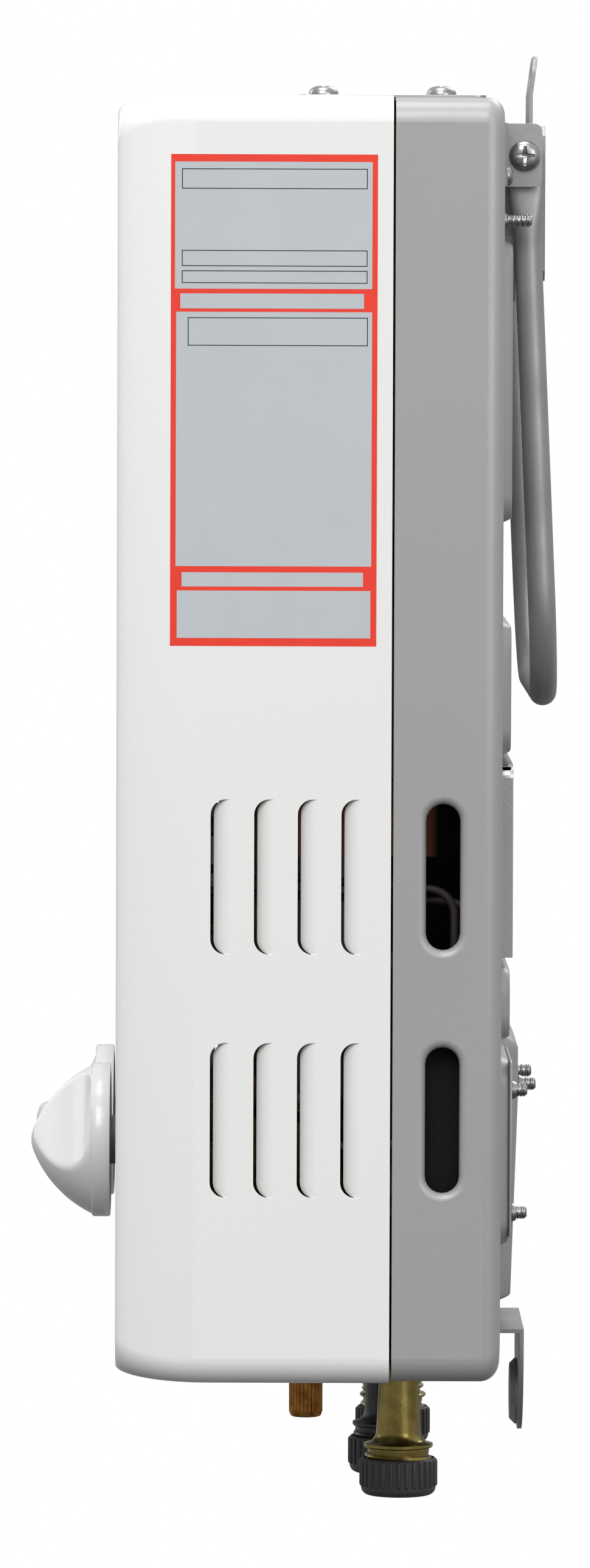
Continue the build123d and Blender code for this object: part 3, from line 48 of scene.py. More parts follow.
# what the pieces are lined up with, all read from the frame
coverLow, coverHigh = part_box("front_cover")
panLow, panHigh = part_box("back_pan")
topZ = coverHigh.z
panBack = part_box("handle_ears")[0].y     # the ears stand on the pan's back


def drop(value):
    return topZ - value * mm


def behind(value):
    return panBack + value * mm


def middle(node):
    return [(low + high) / 2 for low, high in zip(*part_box(node))]


# node trees
def maths(operation, turned=False):
    # an operator that adds a Math node
    def reckon(self, other):
        first, second = (other, self) if turned else (self, other)
        return self.tree.put("ShaderNodeMath", {0: first, 1: second}, operation=operation)
    return reckon


class Number:
    # the value of a socket

    def __init__(self, tree, socket):
        self.tree, self.socket = tree, socket

    __add__ = __radd__ = maths("ADD")
    __mul__ = __rmul__ = maths("MULTIPLY")
    __sub__, __rsub__ = maths("SUBTRACT"), maths("SUBTRACT", turned=True)
    __truediv__, __pow__ = maths("DIVIDE"), maths("POWER")


class Tree:
    # a node tree; put() adds a node with its inputs and settings and gives one of its outputs

    def __init__(self, tree):
        self.tree = tree

    def put(self, kind, values=None, output=0, **settings):
        node = self.tree.nodes.new(kind)
        for key, value in settings.items():
            setattr(node, key, value)
        for key, value in (values or {}).items():
            self.join(value, node.inputs[key])
        return Number(self, node.outputs[output])

    def join(self, value, socket):
        if isinstance(value, Number):
            self.tree.links.new(value.socket, socket)
        else:
            socket.default_value = (*value, 1.0) if socket.type == "RGBA" else value


class Paint(Tree):
    # one material: a Principled shader and the nodes that feed it

    def __init__(self, name, **constants):
        self.material = bpy.data.materials.new(name)
        self.material.use_nodes = True
        super().__init__(self.material.node_tree)
        self.shader = self.tree.nodes["Principled BSDF"]
        for socket, value in constants.items():
            self.feed(socket.replace("_", " "), value)
        self.place = self.put("ShaderNodeTexCoord", output="Object")

    def feed(self, socket, value):
        self.join(value, self.shader.inputs[socket])

    def noise(self, scale, detail, stretch=(1, 1, 1)):
        place = self.put("ShaderNodeVectorMath", {0: self.place, 1: stretch}, operation="MULTIPLY")
        return self.put("ShaderNodeTexNoise", {"Vector": place, "Scale": scale, "Detail": detail}, "Fac")

    def ramp(self, value, low, high):
        return self.put("ShaderNodeMapRange", {0: value, 1: low, 2: high})

    def mix(self, share, first, second):
        return self.put("ShaderNodeMix", {0: share, 6: first, 7: second}, 2, data_type="RGBA")

    def axis(self, name):
        return self.put("ShaderNodeSeparateXYZ", {0: self.place}, name)

    def bump(self, height, distance):
        self.feed("Normal", self.put("ShaderNodeBump", {"Height": height, "Distance": distance}))


# detail of both noises, where a patch begins and is full, share of patches in colour and in gloss
wear = {"detail": 4.0, "fineDetail": 2.0, "patch": (0.35, 0.7), "inColour": 0.8, "inGloss": 0.5}


def finish(name, base, shade, rough, patch, grain, grainHeight, brush=(1, 1, 1), **constants):
    # a base colour with soft patches of a second one, uneven gloss and a fine grain
    paint = Paint(name, **constants)
    patches = paint.ramp(paint.noise(patch, wear["detail"]), *wear["patch"])
    fine = paint.noise(grain, wear["fineDetail"], brush)
    share = wear["inColour"]
    paint.feed("Base Color", paint.mix(patches * share + fine * (1 - share), base, shade))
    (low, high), share = rough, wear["inGloss"]
    paint.feed("Roughness", low + (high - low) * (patches * share + fine * (1 - share)))
    paint.bump(fine, grainHeight)
    return paint.material


# both colours, range of roughness, patch and grain scale, grain height in metres, other sockets
metal = {"Metallic": 1.0}
looks = {
    "whiteEnamel": ((0.77, 0.772, 0.762), (0.755, 0.757, 0.747), (0.24, 0.34), 9, 420, 0.000025,
                    {"Coat_Weight": 0.4, "Coat_Roughness": 0.12}),
    "greyEnamel": ((0.345, 0.347, 0.345), (0.322, 0.324, 0.322), (0.34, 0.46), 14, 520, 0.00003,
                   {"Metallic": 0.15, "Coat_Weight": 0.15, "Coat_Roughness": 0.25}),
    "greyZinc": ((0.36, 0.362, 0.362), (0.29, 0.292, 0.292), (0.36, 0.52), 60, 700, 0.00004,
                 {"Metallic": 0.55}),
    "stainless": ((0.55, 0.55, 0.54), (0.44, 0.44, 0.43), (0.24, 0.42), 40, 900, 0.00003,
                  {"brush": (0.04, 1, 1), **metal}),
    "chrome": ((0.78, 0.78, 0.79), (0.62, 0.62, 0.63), (0.12, 0.26), 200, 2400, 0.00001, metal),
    "plated": ((0.42, 0.42, 0.415), (0.28, 0.28, 0.275), (0.2, 0.38), 300, 2000, 0.00001, metal),
    "copper": ((0.66, 0.33, 0.20), (0.32, 0.13, 0.08), (0.28, 0.5), 35, 600, 0.00004, metal),
    "brass": ((0.32, 0.25, 0.078), (0.14, 0.108, 0.03), (0.18, 0.4), 160, 900, 0.00003, metal),
    "darkSteel": ((0.075, 0.075, 0.078), (0.045, 0.045, 0.048), (0.3, 0.5), 90, 900, 0.00003,
                  {"Metallic": 0.9}),
    "wornCopper": ((0.52, 0.23, 0.045), (0.17, 0.07, 0.014), (0.25, 0.45), 300, 900, 0.00004,
                   {"Metallic": 0.85}),
    "castAlloy": ((0.48, 0.48, 0.49), (0.34, 0.34, 0.35), (0.45, 0.65), 60, 800, 0.00012, {"Metallic": 0.9}),
    "burnerSteel": ((0.32, 0.30, 0.28), (0.18, 0.16, 0.15), (0.4, 0.6), 40, 700, 0.00005, {"Metallic": 0.9}),
    "ceramic": ((0.80, 0.78, 0.72), (0.70, 0.67, 0.60), (0.2, 0.35), 120, 900, 0.00002, {}),
    "leadRubber": ((0.035, 0.027, 0.024), (0.022, 0.017, 0.015), (0.5, 0.65), 90, 900, 0.00002, {}),
    "blackPlastic": ((0.004, 0.004, 0.004), (0.008, 0.008, 0.008), (0.55, 0.7), 60, 1500, 0.00004,
                     {"Specular_IOR_Level": 0.12}),
    "capPlastic": ((0.040, 0.040, 0.0405), (0.031, 0.031, 0.0315), (0.42, 0.58), 80, 1300, 0.00005, {}),
    "knobPlastic": ((0.67, 0.672, 0.663), (0.655, 0.657, 0.648), (0.24, 0.32), 40, 900, 0.00001,
                    {"Coat_Weight": 0.3, "Coat_Roughness": 0.1}),
    "spindlePlastic": ((0.20, 0.205, 0.21), (0.16, 0.165, 0.17), (0.4, 0.5), 60, 900, 0.00003, {}),
    "rubber": ((0.02, 0.02, 0.02), (0.035, 0.035, 0.035), (0.6, 0.75), 80, 1200, 0.00004, {}),
    "glass": ((0.9, 0.95, 0.95), (0.85, 0.9, 0.9), (0.04, 0.08), 60, 900, 0.000002,
              {"Transmission_Weight": 1.0, "IOR": 1.5}),
    "cellJacket": ((0.05, 0.06, 0.09), (0.07, 0.08, 0.11), (0.25, 0.35), 60, 900, 0.00001, {}),
    "labelRed": ((0.78, 0.042, 0.02), (0.72, 0.038, 0.018), (0.3, 0.4), 60, 1600, 0.000008, {}),
    "labelGrey": ((0.475, 0.505, 0.53), (0.45, 0.48, 0.505), (0.3, 0.42), 50, 1600, 0.000008, {}),
    "labelInk": ((0.02, 0.02, 0.022), (0.03, 0.03, 0.03), (0.35, 0.45), 60, 1600, 0.000008, {}),
}
finishes = {name: finish(name, *look, **others) for name, (*look, others) in looks.items()}

# the sheet behind the upper vent slot: copper above an edge, painted shade below it and towards the back
paintedShadeOnCopper = {
    "edge": 236.0, "soft": 0.4, "darkFrom": -30.2, "brightTo": -32.6, "patch": 160, "grainHeight": 0.0001,
    "copper": (0.50, 0.18, 0.09), "dark": (0.012, 0.009, 0.007), "below": (0.006, 0.006, 0.006),
    # a base and a share of mottle
    "spread": (0.55, 0.6), "rough": (0.3, 0.3), "metallic": 0.9,
}


# copper with painted shade: near black below the edge and darker towards the back, spread unevenly by a
# mottle
def copperWithPaintedShade():
    paint = Paint("copperWithPaintedShade", Metallic=paintedShadeOnCopper["metallic"])
    edge, soft = paintedShadeOnCopper["edge"], paintedShadeOnCopper["soft"]
    above = paint.ramp(paint.axis("Z"), -(edge + soft) * mm, -(edge - soft) * mm)
    front = paint.ramp(paint.axis("Y"), paintedShadeOnCopper["darkFrom"] * mm, paintedShadeOnCopper["brightTo"] * mm)
    mottle = paint.noise(paintedShadeOnCopper["patch"], wear["detail"])
    least, share = paintedShadeOnCopper["spread"]
    # painted shade, growing towards the back
    sheet = paint.mix(front * (least + share * mottle), paintedShadeOnCopper["dark"], paintedShadeOnCopper["copper"])
    # painted shade, near black below the edge
    paint.feed("Base Color", paint.mix(above, paintedShadeOnCopper["below"], sheet))
    least, share = paintedShadeOnCopper["rough"]
    paint.feed("Roughness", least + share * mottle)
    paint.bump(mottle, paintedShadeOnCopper["grainHeight"])
    return paint.material


finishes["copperWithPaintedShade"] = copperWithPaintedShade()
print("finishes", len(finishes))

# the nodes that show as they are
plainNodes = {
    "stainless": "switch_lever", "burnerSteel": "burner_tray burner_bars",
    "copper": "combustion_chamber flue_hood fin_block water_coil cold_pipe hot_pipe",
    "castAlloy": "gas_manifold gas_valve_body gas_feed_pipe", "ceramic": "igniter_electrode flame_sensor",
    "brass": "gas_nozzles gas_plunger water_valve_body diaphragm_cover push_rod",
    "blackPlastic": "overheat_cutout ignition_controller micro_switch battery_box battery_door",
    "leadRubber": "igniter_lead sensor_lead", "greyZinc": "gas_solenoid", "rubber": "diaphragm",
    "spindlePlastic": "gas_spindle water_spindle", "cellJacket": "batteries", "glass": "window_glass",
}
for name, nodes in plainNodes.items():
    for node in nodes.split():
        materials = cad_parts[node].data.materials
        materials.clear()
        materials.append(finishes[name])


# outlines
def arcLoop(x, y, radius, start, turn, steps=8):
    # points from a start angle through a turn, both in degrees
    angles = [radians(start + turn * n / steps) for n in range(steps + 1)]
    return [(x + radius * cos(a), y + radius * sin(a)) for a in angles]


def circleLoop(x, y, radius, steps=40):
    return arcLoop(x, y, radius, 0, 360, steps)[:-1]


def boxLoop(xLow, xHigh, yLow, yHigh):
    return [(xLow, yLow), (xHigh, yLow), (xHigh, yHigh), (xLow, yHigh)]


def stadiumLoop(x, y, width, height):
    # a slot with half-round ends
    radius, upright = min(width, height) / 2, height > width
    reach = max(width, height) / 2 - radius
    loop = arcLoop(reach, 0, radius, -90, 180, 10) + arcLoop(-reach, 0, radius, 90, 180, 10)
    return [(x + b, y + a) if upright else (x + a, y + b) for a, b in loop]


def roundedLoop(half, low, high, radius, steps=8):
    # an upright rectangle with rounded corners
    corners = ((half - radius, high - radius, 0), (-half + radius, high - radius, 90),
               (-half + radius, low + radius, 180), (half - radius, low + radius, 270))
    return [point for x, z, start in corners for point in arcLoop(x, z, radius, start, 90, steps)]


def upwards(value):
    return value * mm


def turnedRings(profile, steps, x=0.0, y=0.0, height=drop):
    # rings of a turned form from (radius, drop) pairs in millimetres
    return [[(a, b, height(level)) for a, b in circleLoop(x, y, radius * mm, steps)]
            for radius, level in profile]


def easeInset(depth, ease):
    # how far an eased edge has drawn in at a depth behind the closed face
    reach, inset = ease
    if depth >= reach:
        return 0.0
    return inset - inset * sqrt(max(0.0, 1 - ((reach - depth) / reach) ** 2))


def softStep(share):
    return share * share * (3 - 2 * share)


# meshes
class Shape:
    # points and faces, added part by part

    def __init__(self, rings=(), closed=True):
        self.points, self.faces = [], []
        if rings:
            self.stitch(rings, closed)

    def add(self, points, faces):
        start = len(self.points)
        self.points += points
        self.faces += [tuple(start + n for n in face) for face in faces]

    def stitch(self, rings, closed=True):
        # quads between rings of equal length
        count, quads = len(rings[0]), []
        for first in range(0, count * (len(rings) - 1), count):
            for n in range(count if closed else count - 1):
                a, b = first + n, first + (n + 1) % count
                quads.append((a, b, b + count, a + count))
        self.add([point for ring in rings for point in ring], quads)

    def lid(self, start, count):
        # one face over a ring; a negative start counts from the end
        start %= len(self.points)
        self.faces.append(tuple(range(start, start + count)))

    def fan(self, start, count, tip):
        # triangles from a ring to a tip
        start %= len(self.points)
        self.faces += [(len(self.points), start + n, start + (n + 1) % count) for n in range(count)]
        self.points.append(tip)

    def mesh(self, name):
        # doubles merged, faces outwards
        mesh = bpy.data.meshes.new(name)
        mesh.from_pydata([tuple(p) for p in self.points], [], self.faces)
        made = bmesh.new()
        made.from_mesh(mesh)
        bmesh.ops.remove_doubles(made, verts=made.verts, dist=1e-6)
        bmesh.ops.recalc_face_normals(made, faces=made.faces)
        made.to_mesh(mesh)
        made.free()
        return mesh


def faceRight(mesh):
    # turns an open sheet so that it faces +X
    if any(polygon.normal.x < -0.2 for polygon in mesh.polygons):
        mesh.flip_normals()
    return mesh


def added(name, data):
    thing = bpy.data.objects.new(name, data)
    bpy.context.scene.collection.objects.link(thing)
    return thing


def applied(mesh, kind, inputs=None, **settings):
    # the mesh that comes out of one modifier
    carrier = added("carrier", mesh)
    modifier = carrier.modifiers.new("change", kind)
    for key, value in settings.items():
        setattr(modifier, key, value)
    for key, value in (inputs or {}).items():
        modifier[key] = value
    bpy.context.view_layer.update()
    made = bpy.data.meshes.new_from_object(carrier.evaluated_get(bpy.context.evaluated_depsgraph_get()))
    bpy.data.objects.remove(carrier)
    return made


def thickened(mesh, sheet):
    return applied(mesh, "SOLIDIFY", thickness=sheet, offset=-1, use_even_offset=True)


def dress(name, mesh, finishName, replaced=None, body="heater", smooth=35, flat=False):
    # the finished piece: smooth below an angle, and level faces of some size stay flat if asked
    thing = added(name, mesh)
    mesh.shade_smooth()
    mesh.set_sharp_from_angle(angle=radians(smooth))
    for polygon in mesh.polygons if flat else ():
        if max(abs(n) for n in polygon.normal) > 0.999995 and polygon.area > 4e-6:
            polygon.use_smooth = False
    mesh.materials.clear()
    mesh.materials.append(finishes[finishName])
    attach(thing, body)
    if replaced:
        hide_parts(replaced)


# walls with holes
def holedPanel(outline, holes):
    # flat panel with holes: (points, triangles) in the panel's own plane
    points, edges = [], []
    for loop in [outline, *holes]:
        start = len(points)
        points += [Vector(p) for p in loop]
        edges += [(start + n, start + (n + 1) % len(loop)) for n in range(len(loop))]
    made = delaunay_2d_cdt(points, edges, [], 1, 1e-9)

    def inside(p, loop):
        hit = False
        for n, a in enumerate(loop):
            b = loop[n - 1]
            if (a[1] > p[1]) != (b[1] > p[1]) and p[0] < (b[0] - a[0]) * (p[1] - a[1]) / (b[1] - a[1]) + a[0]:
                hit = not hit
        return hit

    triangles = []
    for face in made[2]:
        centre = sum((made[0][n] for n in face), Vector((0, 0))) / len(face)
        if not any(inside(centre, loop) for loop in holes):
            triangles.append(tuple(face))
    return made[0], triangles


def flatWalls(shape, ringSize, low, high, corner, yFlat, yOpen, holes):
    # swaps the flat walls along the seam for panels with holes: those of the sides, the top and the bottom
    half, last = high.x, len(shape.points) // ringSize - 2
    walls = (lambda p: abs(p[0]) - half, lambda p: p[2] - low.z, lambda p: p[2] - high.z)
    shape.faces = [face for face in shape.faces if face[0] // ringSize < last or not any(
        all(abs(wall(shape.points[n])) < 1e-7 for n in face) for wall in walls)]
    yLow, yHigh = sorted((yFlat, yOpen))
    sideHoles, topHoles, bottomHoles = holes
    panel, triangles = holedPanel(boxLoop(yLow, yHigh, low.z + corner, high.z - corner), sideHoles)
    for side in sides:
        shape.add([(side * half, y, z) for y, z in panel], triangles)
    for z, cuts in ((high.z, topHoles), (low.z, bottomHoles)):
        panel, triangles = holedPanel(boxLoop(corner - half, half - corner, yLow, yHigh), cuts)
        shape.add([(x, y, z) for x, y in panel], triangles)


def shell(low, high, faceY, seamY, size, holes):
    # walls from a closed face to an open seam, drawn in towards the face, and the outline of the face
    eases = [size[edge] for edge in ("sideEase", "topEase", "bottomEase")]
    deepest, onwards, steps = max(eases)[0], 1 if seamY > faceY else -1, size["ringSteps"]
    depths = [deepest * (1 - cos(pi / 2 * n / steps)) for n in range(steps + 1)]
    rings = []
    for depth in [*depths, abs(seamY - faceY)]:
        side, top, bottom = (easeInset(depth, ease) for ease in eases)
        radius = size["corner"] + size["widening"] * side
        loop = roundedLoop(high.x - side, low.z + bottom, high.z - top, radius, size["cornerSteps"])
        rings.append([(x, faceY + onwards * depth, z) for x, z in loop])
    shape = Shape(rings)
    flatWalls(shape, len(rings[0]), low, high, size["corner"], faceY + onwards * deepest, seamY, holes)
    return shape, rings[0]


# front cover
cover = {
    "sideEase": (24 * mm, 5 * mm), "topEase": (18 * mm, 5 * mm), "bottomEase": (28 * mm, 4.5 * mm),
    "corner": 8 * mm, "widening": 0.6, "sheet": 0.8 * mm, "ringSteps": 18, "cornerSteps": 10,
    "firstSlit": 28.0 * mm, "pitch": 12.9 * mm, "count": 4, "rows": (230.9, 303.1),
    "width": 5.9 * mm, "length": 46.0 * mm, "bend": 4.5 * mm, "depth": 2.6 * mm, "gap": 0.95 * mm,
    "fall": 1.7, "rounding": 0.6,
    "knobHole": 8.5 * mm, "knobDrop": 318.7, "windowWidth": 56 * mm, "windowHeight": 16 * mm,
    "exhaustHalf": 95 * mm, "exhaustDepth": 23 * mm, "seamGap": 0.5 * mm, "drainHole": 7 * mm,
    "doorGap": 0.4 * mm,
}


def louvreLoop(y, z):
    # D-shaped hole in (y, z): rounded corners at the slit, square at the rear
    half, bend, rear = cover["length"] / 2, cover["bend"], y + cover["width"]
    return [(rear, z - half), (rear, z + half), *arcLoop(y + bend, z + half - bend, bend, 90, 90),
            *arcLoop(y + bend, z - half + bend, bend, 180, 90)]


def makeCover():
    front, seamY, gap, exhaustHalf = coverLow.y, coverHigh.y, cover["doorGap"], cover["exhaustHalf"]
    louvres = [louvreLoop(front + cover["firstSlit"] + n * cover["pitch"], drop(row))
               for row in cover["rows"] for n in range(cover["count"])]
    exhaust = boxLoop(-exhaustHalf, exhaustHalf, seamY - cover["exhaustDepth"], seamY - cover["seamGap"])
    low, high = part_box("battery_door")
    door = boxLoop(low.x - gap, high.x + gap, low.y - gap, high.y + gap)
    drain = circleLoop(*middle("drain_plug")[:2], cover["drainHole"])
    shape, outline = shell(coverLow, coverHigh, front, seamY, cover, (louvres, [exhaust], [door, drain]))
    knobX, windowZ = middle("water_knob")[0], middle("window_glass")[2]
    holes = [circleLoop(side * knobX, drop(cover["knobDrop"]), cover["knobHole"], 48) for side in sides]
    holes.append(stadiumLoop(0, windowZ, cover["windowWidth"], cover["windowHeight"]))
    panel, triangles = holedPanel([(x, z) for x, y, z in outline], holes)
    shape.add([(x, front, z) for x, z in panel], triangles)
    dress("frontCover", thickened(shape.mesh("frontCover"), cover["sheet"]), "whiteEnamel",
          "front_cover", smooth=40, flat=True)


makeCover()
print("front cover")


# louvres
class Web(Tree):
    # a Geometry Nodes tree with named inputs, the last of which is the finish

    def __init__(self, name, **sizes):
        super().__init__(bpy.data.node_groups.new(name, "GeometryNodeTree"))
        sizes = {"Geometry": "Geometry", **sizes, "Finish": "Material"}
        self.keys = {}
        for size, kind in sizes.items():
            socket = self.tree.interface.new_socket(size, in_out="INPUT", socket_type="NodeSocket" + kind)
            self.keys[size] = socket.identifier
        self.tree.interface.new_socket("Geometry", in_out="OUTPUT", socket_type="NodeSocketGeometry")
        inputs = self.tree.nodes.new("NodeGroupInput").outputs
        self.given = {size: Number(self, inputs[size]) for size in sizes}
        self.result = self.tree.nodes.new("NodeGroupOutput").inputs[0]

    def vector(self, **axes):
        return self.put("ShaderNodeCombineXYZ", axes)

    def move(self, geometry, **change):
        return self.put("GeometryNodeTransform", {"Geometry": geometry, **change})

    def line(self, count, start, offset):
        ends = {"Count": count, "Start Location": start, "Offset": offset}
        return self.put("GeometryNodeMeshLine", ends, mode="OFFSET")

    def scatter(self, thing, points, **turn):
        # the object of an input, once at each point
        source = self.put("GeometryNodeObjectInfo", {"Object": self.given[thing]}, "Geometry")
        return self.put("GeometryNodeInstanceOnPoints", {"Points": points, "Instance": source, **turn})

    def merge(self, *parts):
        merged = self.tree.nodes.new("GeometryNodeJoinGeometry")
        for part in parts:
            self.join(part, merged.inputs[0])
        return Number(self, merged.outputs[0])

    def close(self, geometry):
        # realizes the instances, sets the material and ends the tree
        real = self.put("GeometryNodeRealizeInstances", {0: geometry})
        painted = self.put("GeometryNodeSetMaterial", {0: real, "Material": self.given["Finish"]})
        self.join(painted, self.result)


def grow(web, seed, finishName, **inputs):
    # what a tree makes of a seed mesh
    inputs["Finish"] = finishes[finishName]
    values = {web.keys[size]: value for size, value in inputs.items()}
    return applied(seed, "NODES", values, node_group=web.tree)


louvreWeb = Web("louvreRow", Blade="Object", Count="Int", Pitch="Float", First="Float", Upper="Float",
                Step="Float")
given = louvreWeb.given
line = louvreWeb.line(given["Count"], louvreWeb.vector(Y=given["First"], Z=given["Upper"]),
                      louvreWeb.vector(Y=given["Pitch"]))
upperRow = louvreWeb.scatter("Blade", line)
lowerRow = louvreWeb.move(upperRow, Translation=louvreWeb.vector(Z=given["Step"]))
rightSide = louvreWeb.merge(upperRow, lowerRow)
louvreWeb.close(louvreWeb.merge(rightSide, louvreWeb.move(rightSide, Scale=(-1, 1, 1))))


def louvreBlade(steps=10):
    # one pressed-in blade at the origin on the +X wall: deepest at the slit, flush at its rear
    half, bend, width = cover["length"] / 2, cover["bend"], cover["width"]
    # along the slit, from foot to head: (y, z, share of depth)
    foot = [(bend - bend * s, -half + bend - bend * c, s ** cover["rounding"])
            for c, s in arcLoop(0, 0, 1, 0, 90, steps)]
    straight = [(0.0, -half + bend + 2 * (half - bend) * n / steps, 1.0) for n in range(1, steps)]
    edge = [*foot, *straight, *((y, -z, depth) for y, z, depth in reversed(foot))]
    rings = []
    for row in range(steps + 1):
        share = row / steps
        ring = []
        for y, z, depth in edge:
            start, fall = y + cover["gap"] * depth, (1 - share) ** cover["fall"]
            ring.append((coverHigh.x - cover["depth"] * depth * fall, start + (width - start) * share, z))
        rings.append(ring)
    return bpy.data.objects.new("louvreBlade", Shape(rings, closed=False).mesh("louvreBlade"))


def makeLouvres():
    upper, lower = cover["rows"]
    mesh = grow(louvreWeb, bpy.data.meshes.new("louvres"), "whiteEnamel", Blade=louvreBlade(),
                Count=cover["count"], Pitch=cover["pitch"], First=coverLow.y + cover["firstSlit"],
                Upper=drop(upper), Step=(upper - lower) * mm)
    made = bmesh.new()
    made.from_mesh(mesh)
    for face in made.faces:                  # outwards on both sides
        if face.normal.x * face.calc_center_median().x < 0:
            face.normal_flip()
    made.to_mesh(mesh)
    made.free()
    dress("louvres", thickened(mesh, cover["sheet"]), "whiteEnamel", smooth=60, flat=True)


makeLouvres()
print("louvres")

# back pan
pan = {
    "sideEase": (5 * mm, 5 * mm), "topEase": (5 * mm, 5 * mm), "bottomEase": (6 * mm, 6 * mm),
    "corner": 7.4 * mm, "widening": 0.3, "sheet": 0.8 * mm, "lip": 9.3 * mm, "ringSteps": 10,
    "cornerSteps": 8, "slotLength": 43.3 * mm, "slotWidth": 10.1 * mm, "slotSetback": 17.5 * mm,
    "rim": 2.4 * mm, "rimSteps": 8,
    "exhaustDepth": 22 * mm, "neckHole": 8 * mm, "sink": 0.2 * mm, "padSteps": 8,
    "padHalf": 104 * mm, "padCorner": 9 * mm, "padProud": 3.5 * mm, "padSlope": 2.45 * mm,
    "pads": ((41.5, 128.0), (156.0, 198.0), (259.5, 284.0), (287.0, 346.0)),
    "ductHalf": 40 * mm, "duct": ((282.0, 0.0), (290.0, 8.0), (306.0, 8.0), (366.0, 5.95), (369.5, 0.0)),
    "flank": ((1, 0.0), (0.965, 0.35), (0.93, 0.75), (0.9, 0.95), (0.86, 1.0)), "ductSteps": 6,
}


def makePan():
    seamY, rim, exhaustHalf = panLow.y + pan["lip"] - pan["sheet"], pan["rim"], cover["exhaustHalf"]

    def slotLoop(row, grown):
        return stadiumLoop(panBack - pan["slotSetback"], drop(row), pan["slotWidth"] + 2 * grown,
                           pan["slotLength"] + 2 * grown)

    slots = [slotLoop(row, rim) for row in cover["rows"]]
    exhaust = boxLoop(-exhaustHalf, exhaustHalf, seamY + cover["seamGap"], seamY + pan["exhaustDepth"])
    necks = [circleLoop(*middle(name + "_fitting")[:2], pan["neckHole"]) for name in inlets]
    shape, outline = shell(panLow, panHigh, panBack, seamY, pan, (slots, [exhaust], necks))
    shape.lid(0, len(outline))
    curl = arcLoop(panHigh.x - rim, rim, rim, 0, -90, pan["rimSteps"])
    for side in sides:                       # the rolled rims: a quarter turn inwards
        for row in cover["rows"]:
            shape.stitch([[(side * x, y, z) for y, z in slotLoop(row, grown)] for x, grown in curl])
    dress("backPan", thickened(shape.mesh("backPan"), pan["sheet"]), "greyEnamel", "back_pan",
          smooth=40, flat=True)


def makePads():
    shape = Shape()
    for top, bottom in pan["pads"]:
        rings = []
        for n in range(pan["padSteps"] + 1):
            share = n / pan["padSteps"]
            inset = pan["padSlope"] * share
            proud = pan["padProud"] * softStep(share) - pan["sink"] * (1 - share)
            loop = roundedLoop(pan["padHalf"] - inset, drop(bottom) + inset, drop(top) - inset,
                               pan["padCorner"] - inset)
            rings.append([(x, panBack + proud, z) for x, z in loop])
        shape.stitch(rings)
        shape.lid(-len(rings[0]), len(rings[0]))
    dress("backPads", shape.mesh("backPads"), "greyEnamel", smooth=50)


def makeDuct():
    # the raised duct: a profile that rises quickly and falls off downwards, with rounded flanks
    profile, steps, rows = pan["duct"], pan["ductSteps"], []
    across = [(-x, share) for x, share in pan["flank"]] + list(reversed(pan["flank"]))
    for (d1, h1), (d2, h2) in zip(profile, profile[1:]):
        ease = softStep if 0.0 in (h1, h2) else float
        rows += [(d1 + (d2 - d1) * n / steps, h1 + (h2 - h1) * ease(n / steps)) for n in range(steps)]
    rings = [[(pan["ductHalf"] * x, behind(height * share) - pan["sink"], drop(down)) for x, share in across]
             for down, height in [*rows, profile[-1]]]
    dress("ductCover", Shape(rings, closed=False).mesh("ductCover"), "greyEnamel", smooth=50)


makePan()
makePads()
makeDuct()
print("back pan")

# blank side label
label = {
    "front": 15.8 * mm, "top": 17.6, "width": 61.0, "height": 145.0, "line": 0.28, "lift": 0.016 * mm,
    "panels": ((1.2, 2.2, 59.4, 39.6), (2.8, 41.0, 57.0, 45.4), (1.6, 46.4, 59.4, 121.4),
               (3.4, 123.2, 57.0, 127.4), (2.0, 128.6, 59.2, 142.6)),
    "boxes": ((3.2, 4.2, 58.0, 10.2), (3.2, 28.2, 58.0, 33.0), (3.2, 34.2, 58.0, 38.0),
              (5.0, 48.0, 58.2, 56.4)),
}


def labelSheet(name, finishName, areas, level):
    # rectangles (left, top, right, bottom) in the label's own millimetres, laid on the cover's side
    shape = Shape()
    for left, top, right, bottom in areas:
        columns = max(2, int((right - left) / 2))
        depths = [label["front"] + (left + (right - left) * n / columns) * mm for n in range(columns + 1)]
        line = [(coverHigh.x + level * label["lift"] - easeInset(depth, cover["sideEase"]),
                 coverLow.y + depth) for depth in depths]
        shape.stitch([[(x, y, drop(label["top"] + down)) for x, y in line] for down in (top, bottom)], False)
    dress(name, faceRight(shape.mesh(name)), finishName, smooth=60)


def frameBars(left, top, right, bottom, line):
    return [(left, top, right, top + line), (left, bottom - line, right, bottom),
            (left, top + line, left + line, bottom - line), (right - line, top + line, right, bottom - line)]


labelSheet("labelBack", "labelRed", [(0, 0, label["width"], label["height"])], 1)
labelSheet("labelPanels", "labelGrey", label["panels"], 2)
boxBars = [bar for box in label["boxes"] for bar in frameBars(*box, label["line"])]
labelSheet("labelBoxes", "labelInk", boxBars, 3)
print("label")

# knobs
knob = {
    "x": 35.5 * mm, "radius": 23.65 * mm, "depth": 24.4 * mm, "skirt": 5.5 * mm, "step": 0.75 * mm,
    "nose": 9 * mm, "flank": 36 * mm, "gripHalf": 4.5 * mm, "scoop": 22 * mm, "rise": 2.5 * mm,
    "blend": 1.4 * mm, "turns": {"gas": 90.0, "water": 35.0}, "across": 120, "rings": 48,
    # down the skirt and up inside: (radius, height)
    "below": ((22.9, 5.75), (23.35, 5.5), (23.65, 5.1), (23.65, 0.5), (23.25, 0.0), (21.45, 0.0),
              (21.45, 3.0), (8.0, 3.0), (8.0, 1.5), (4.5, 1.5)),
}


def smoothLower(a, b, blend):
    # the lower of two heights, rounded where they meet
    share = max(blend - abs(a - b), 0.0) / blend
    return min(a, b) - share * share * blend / 4


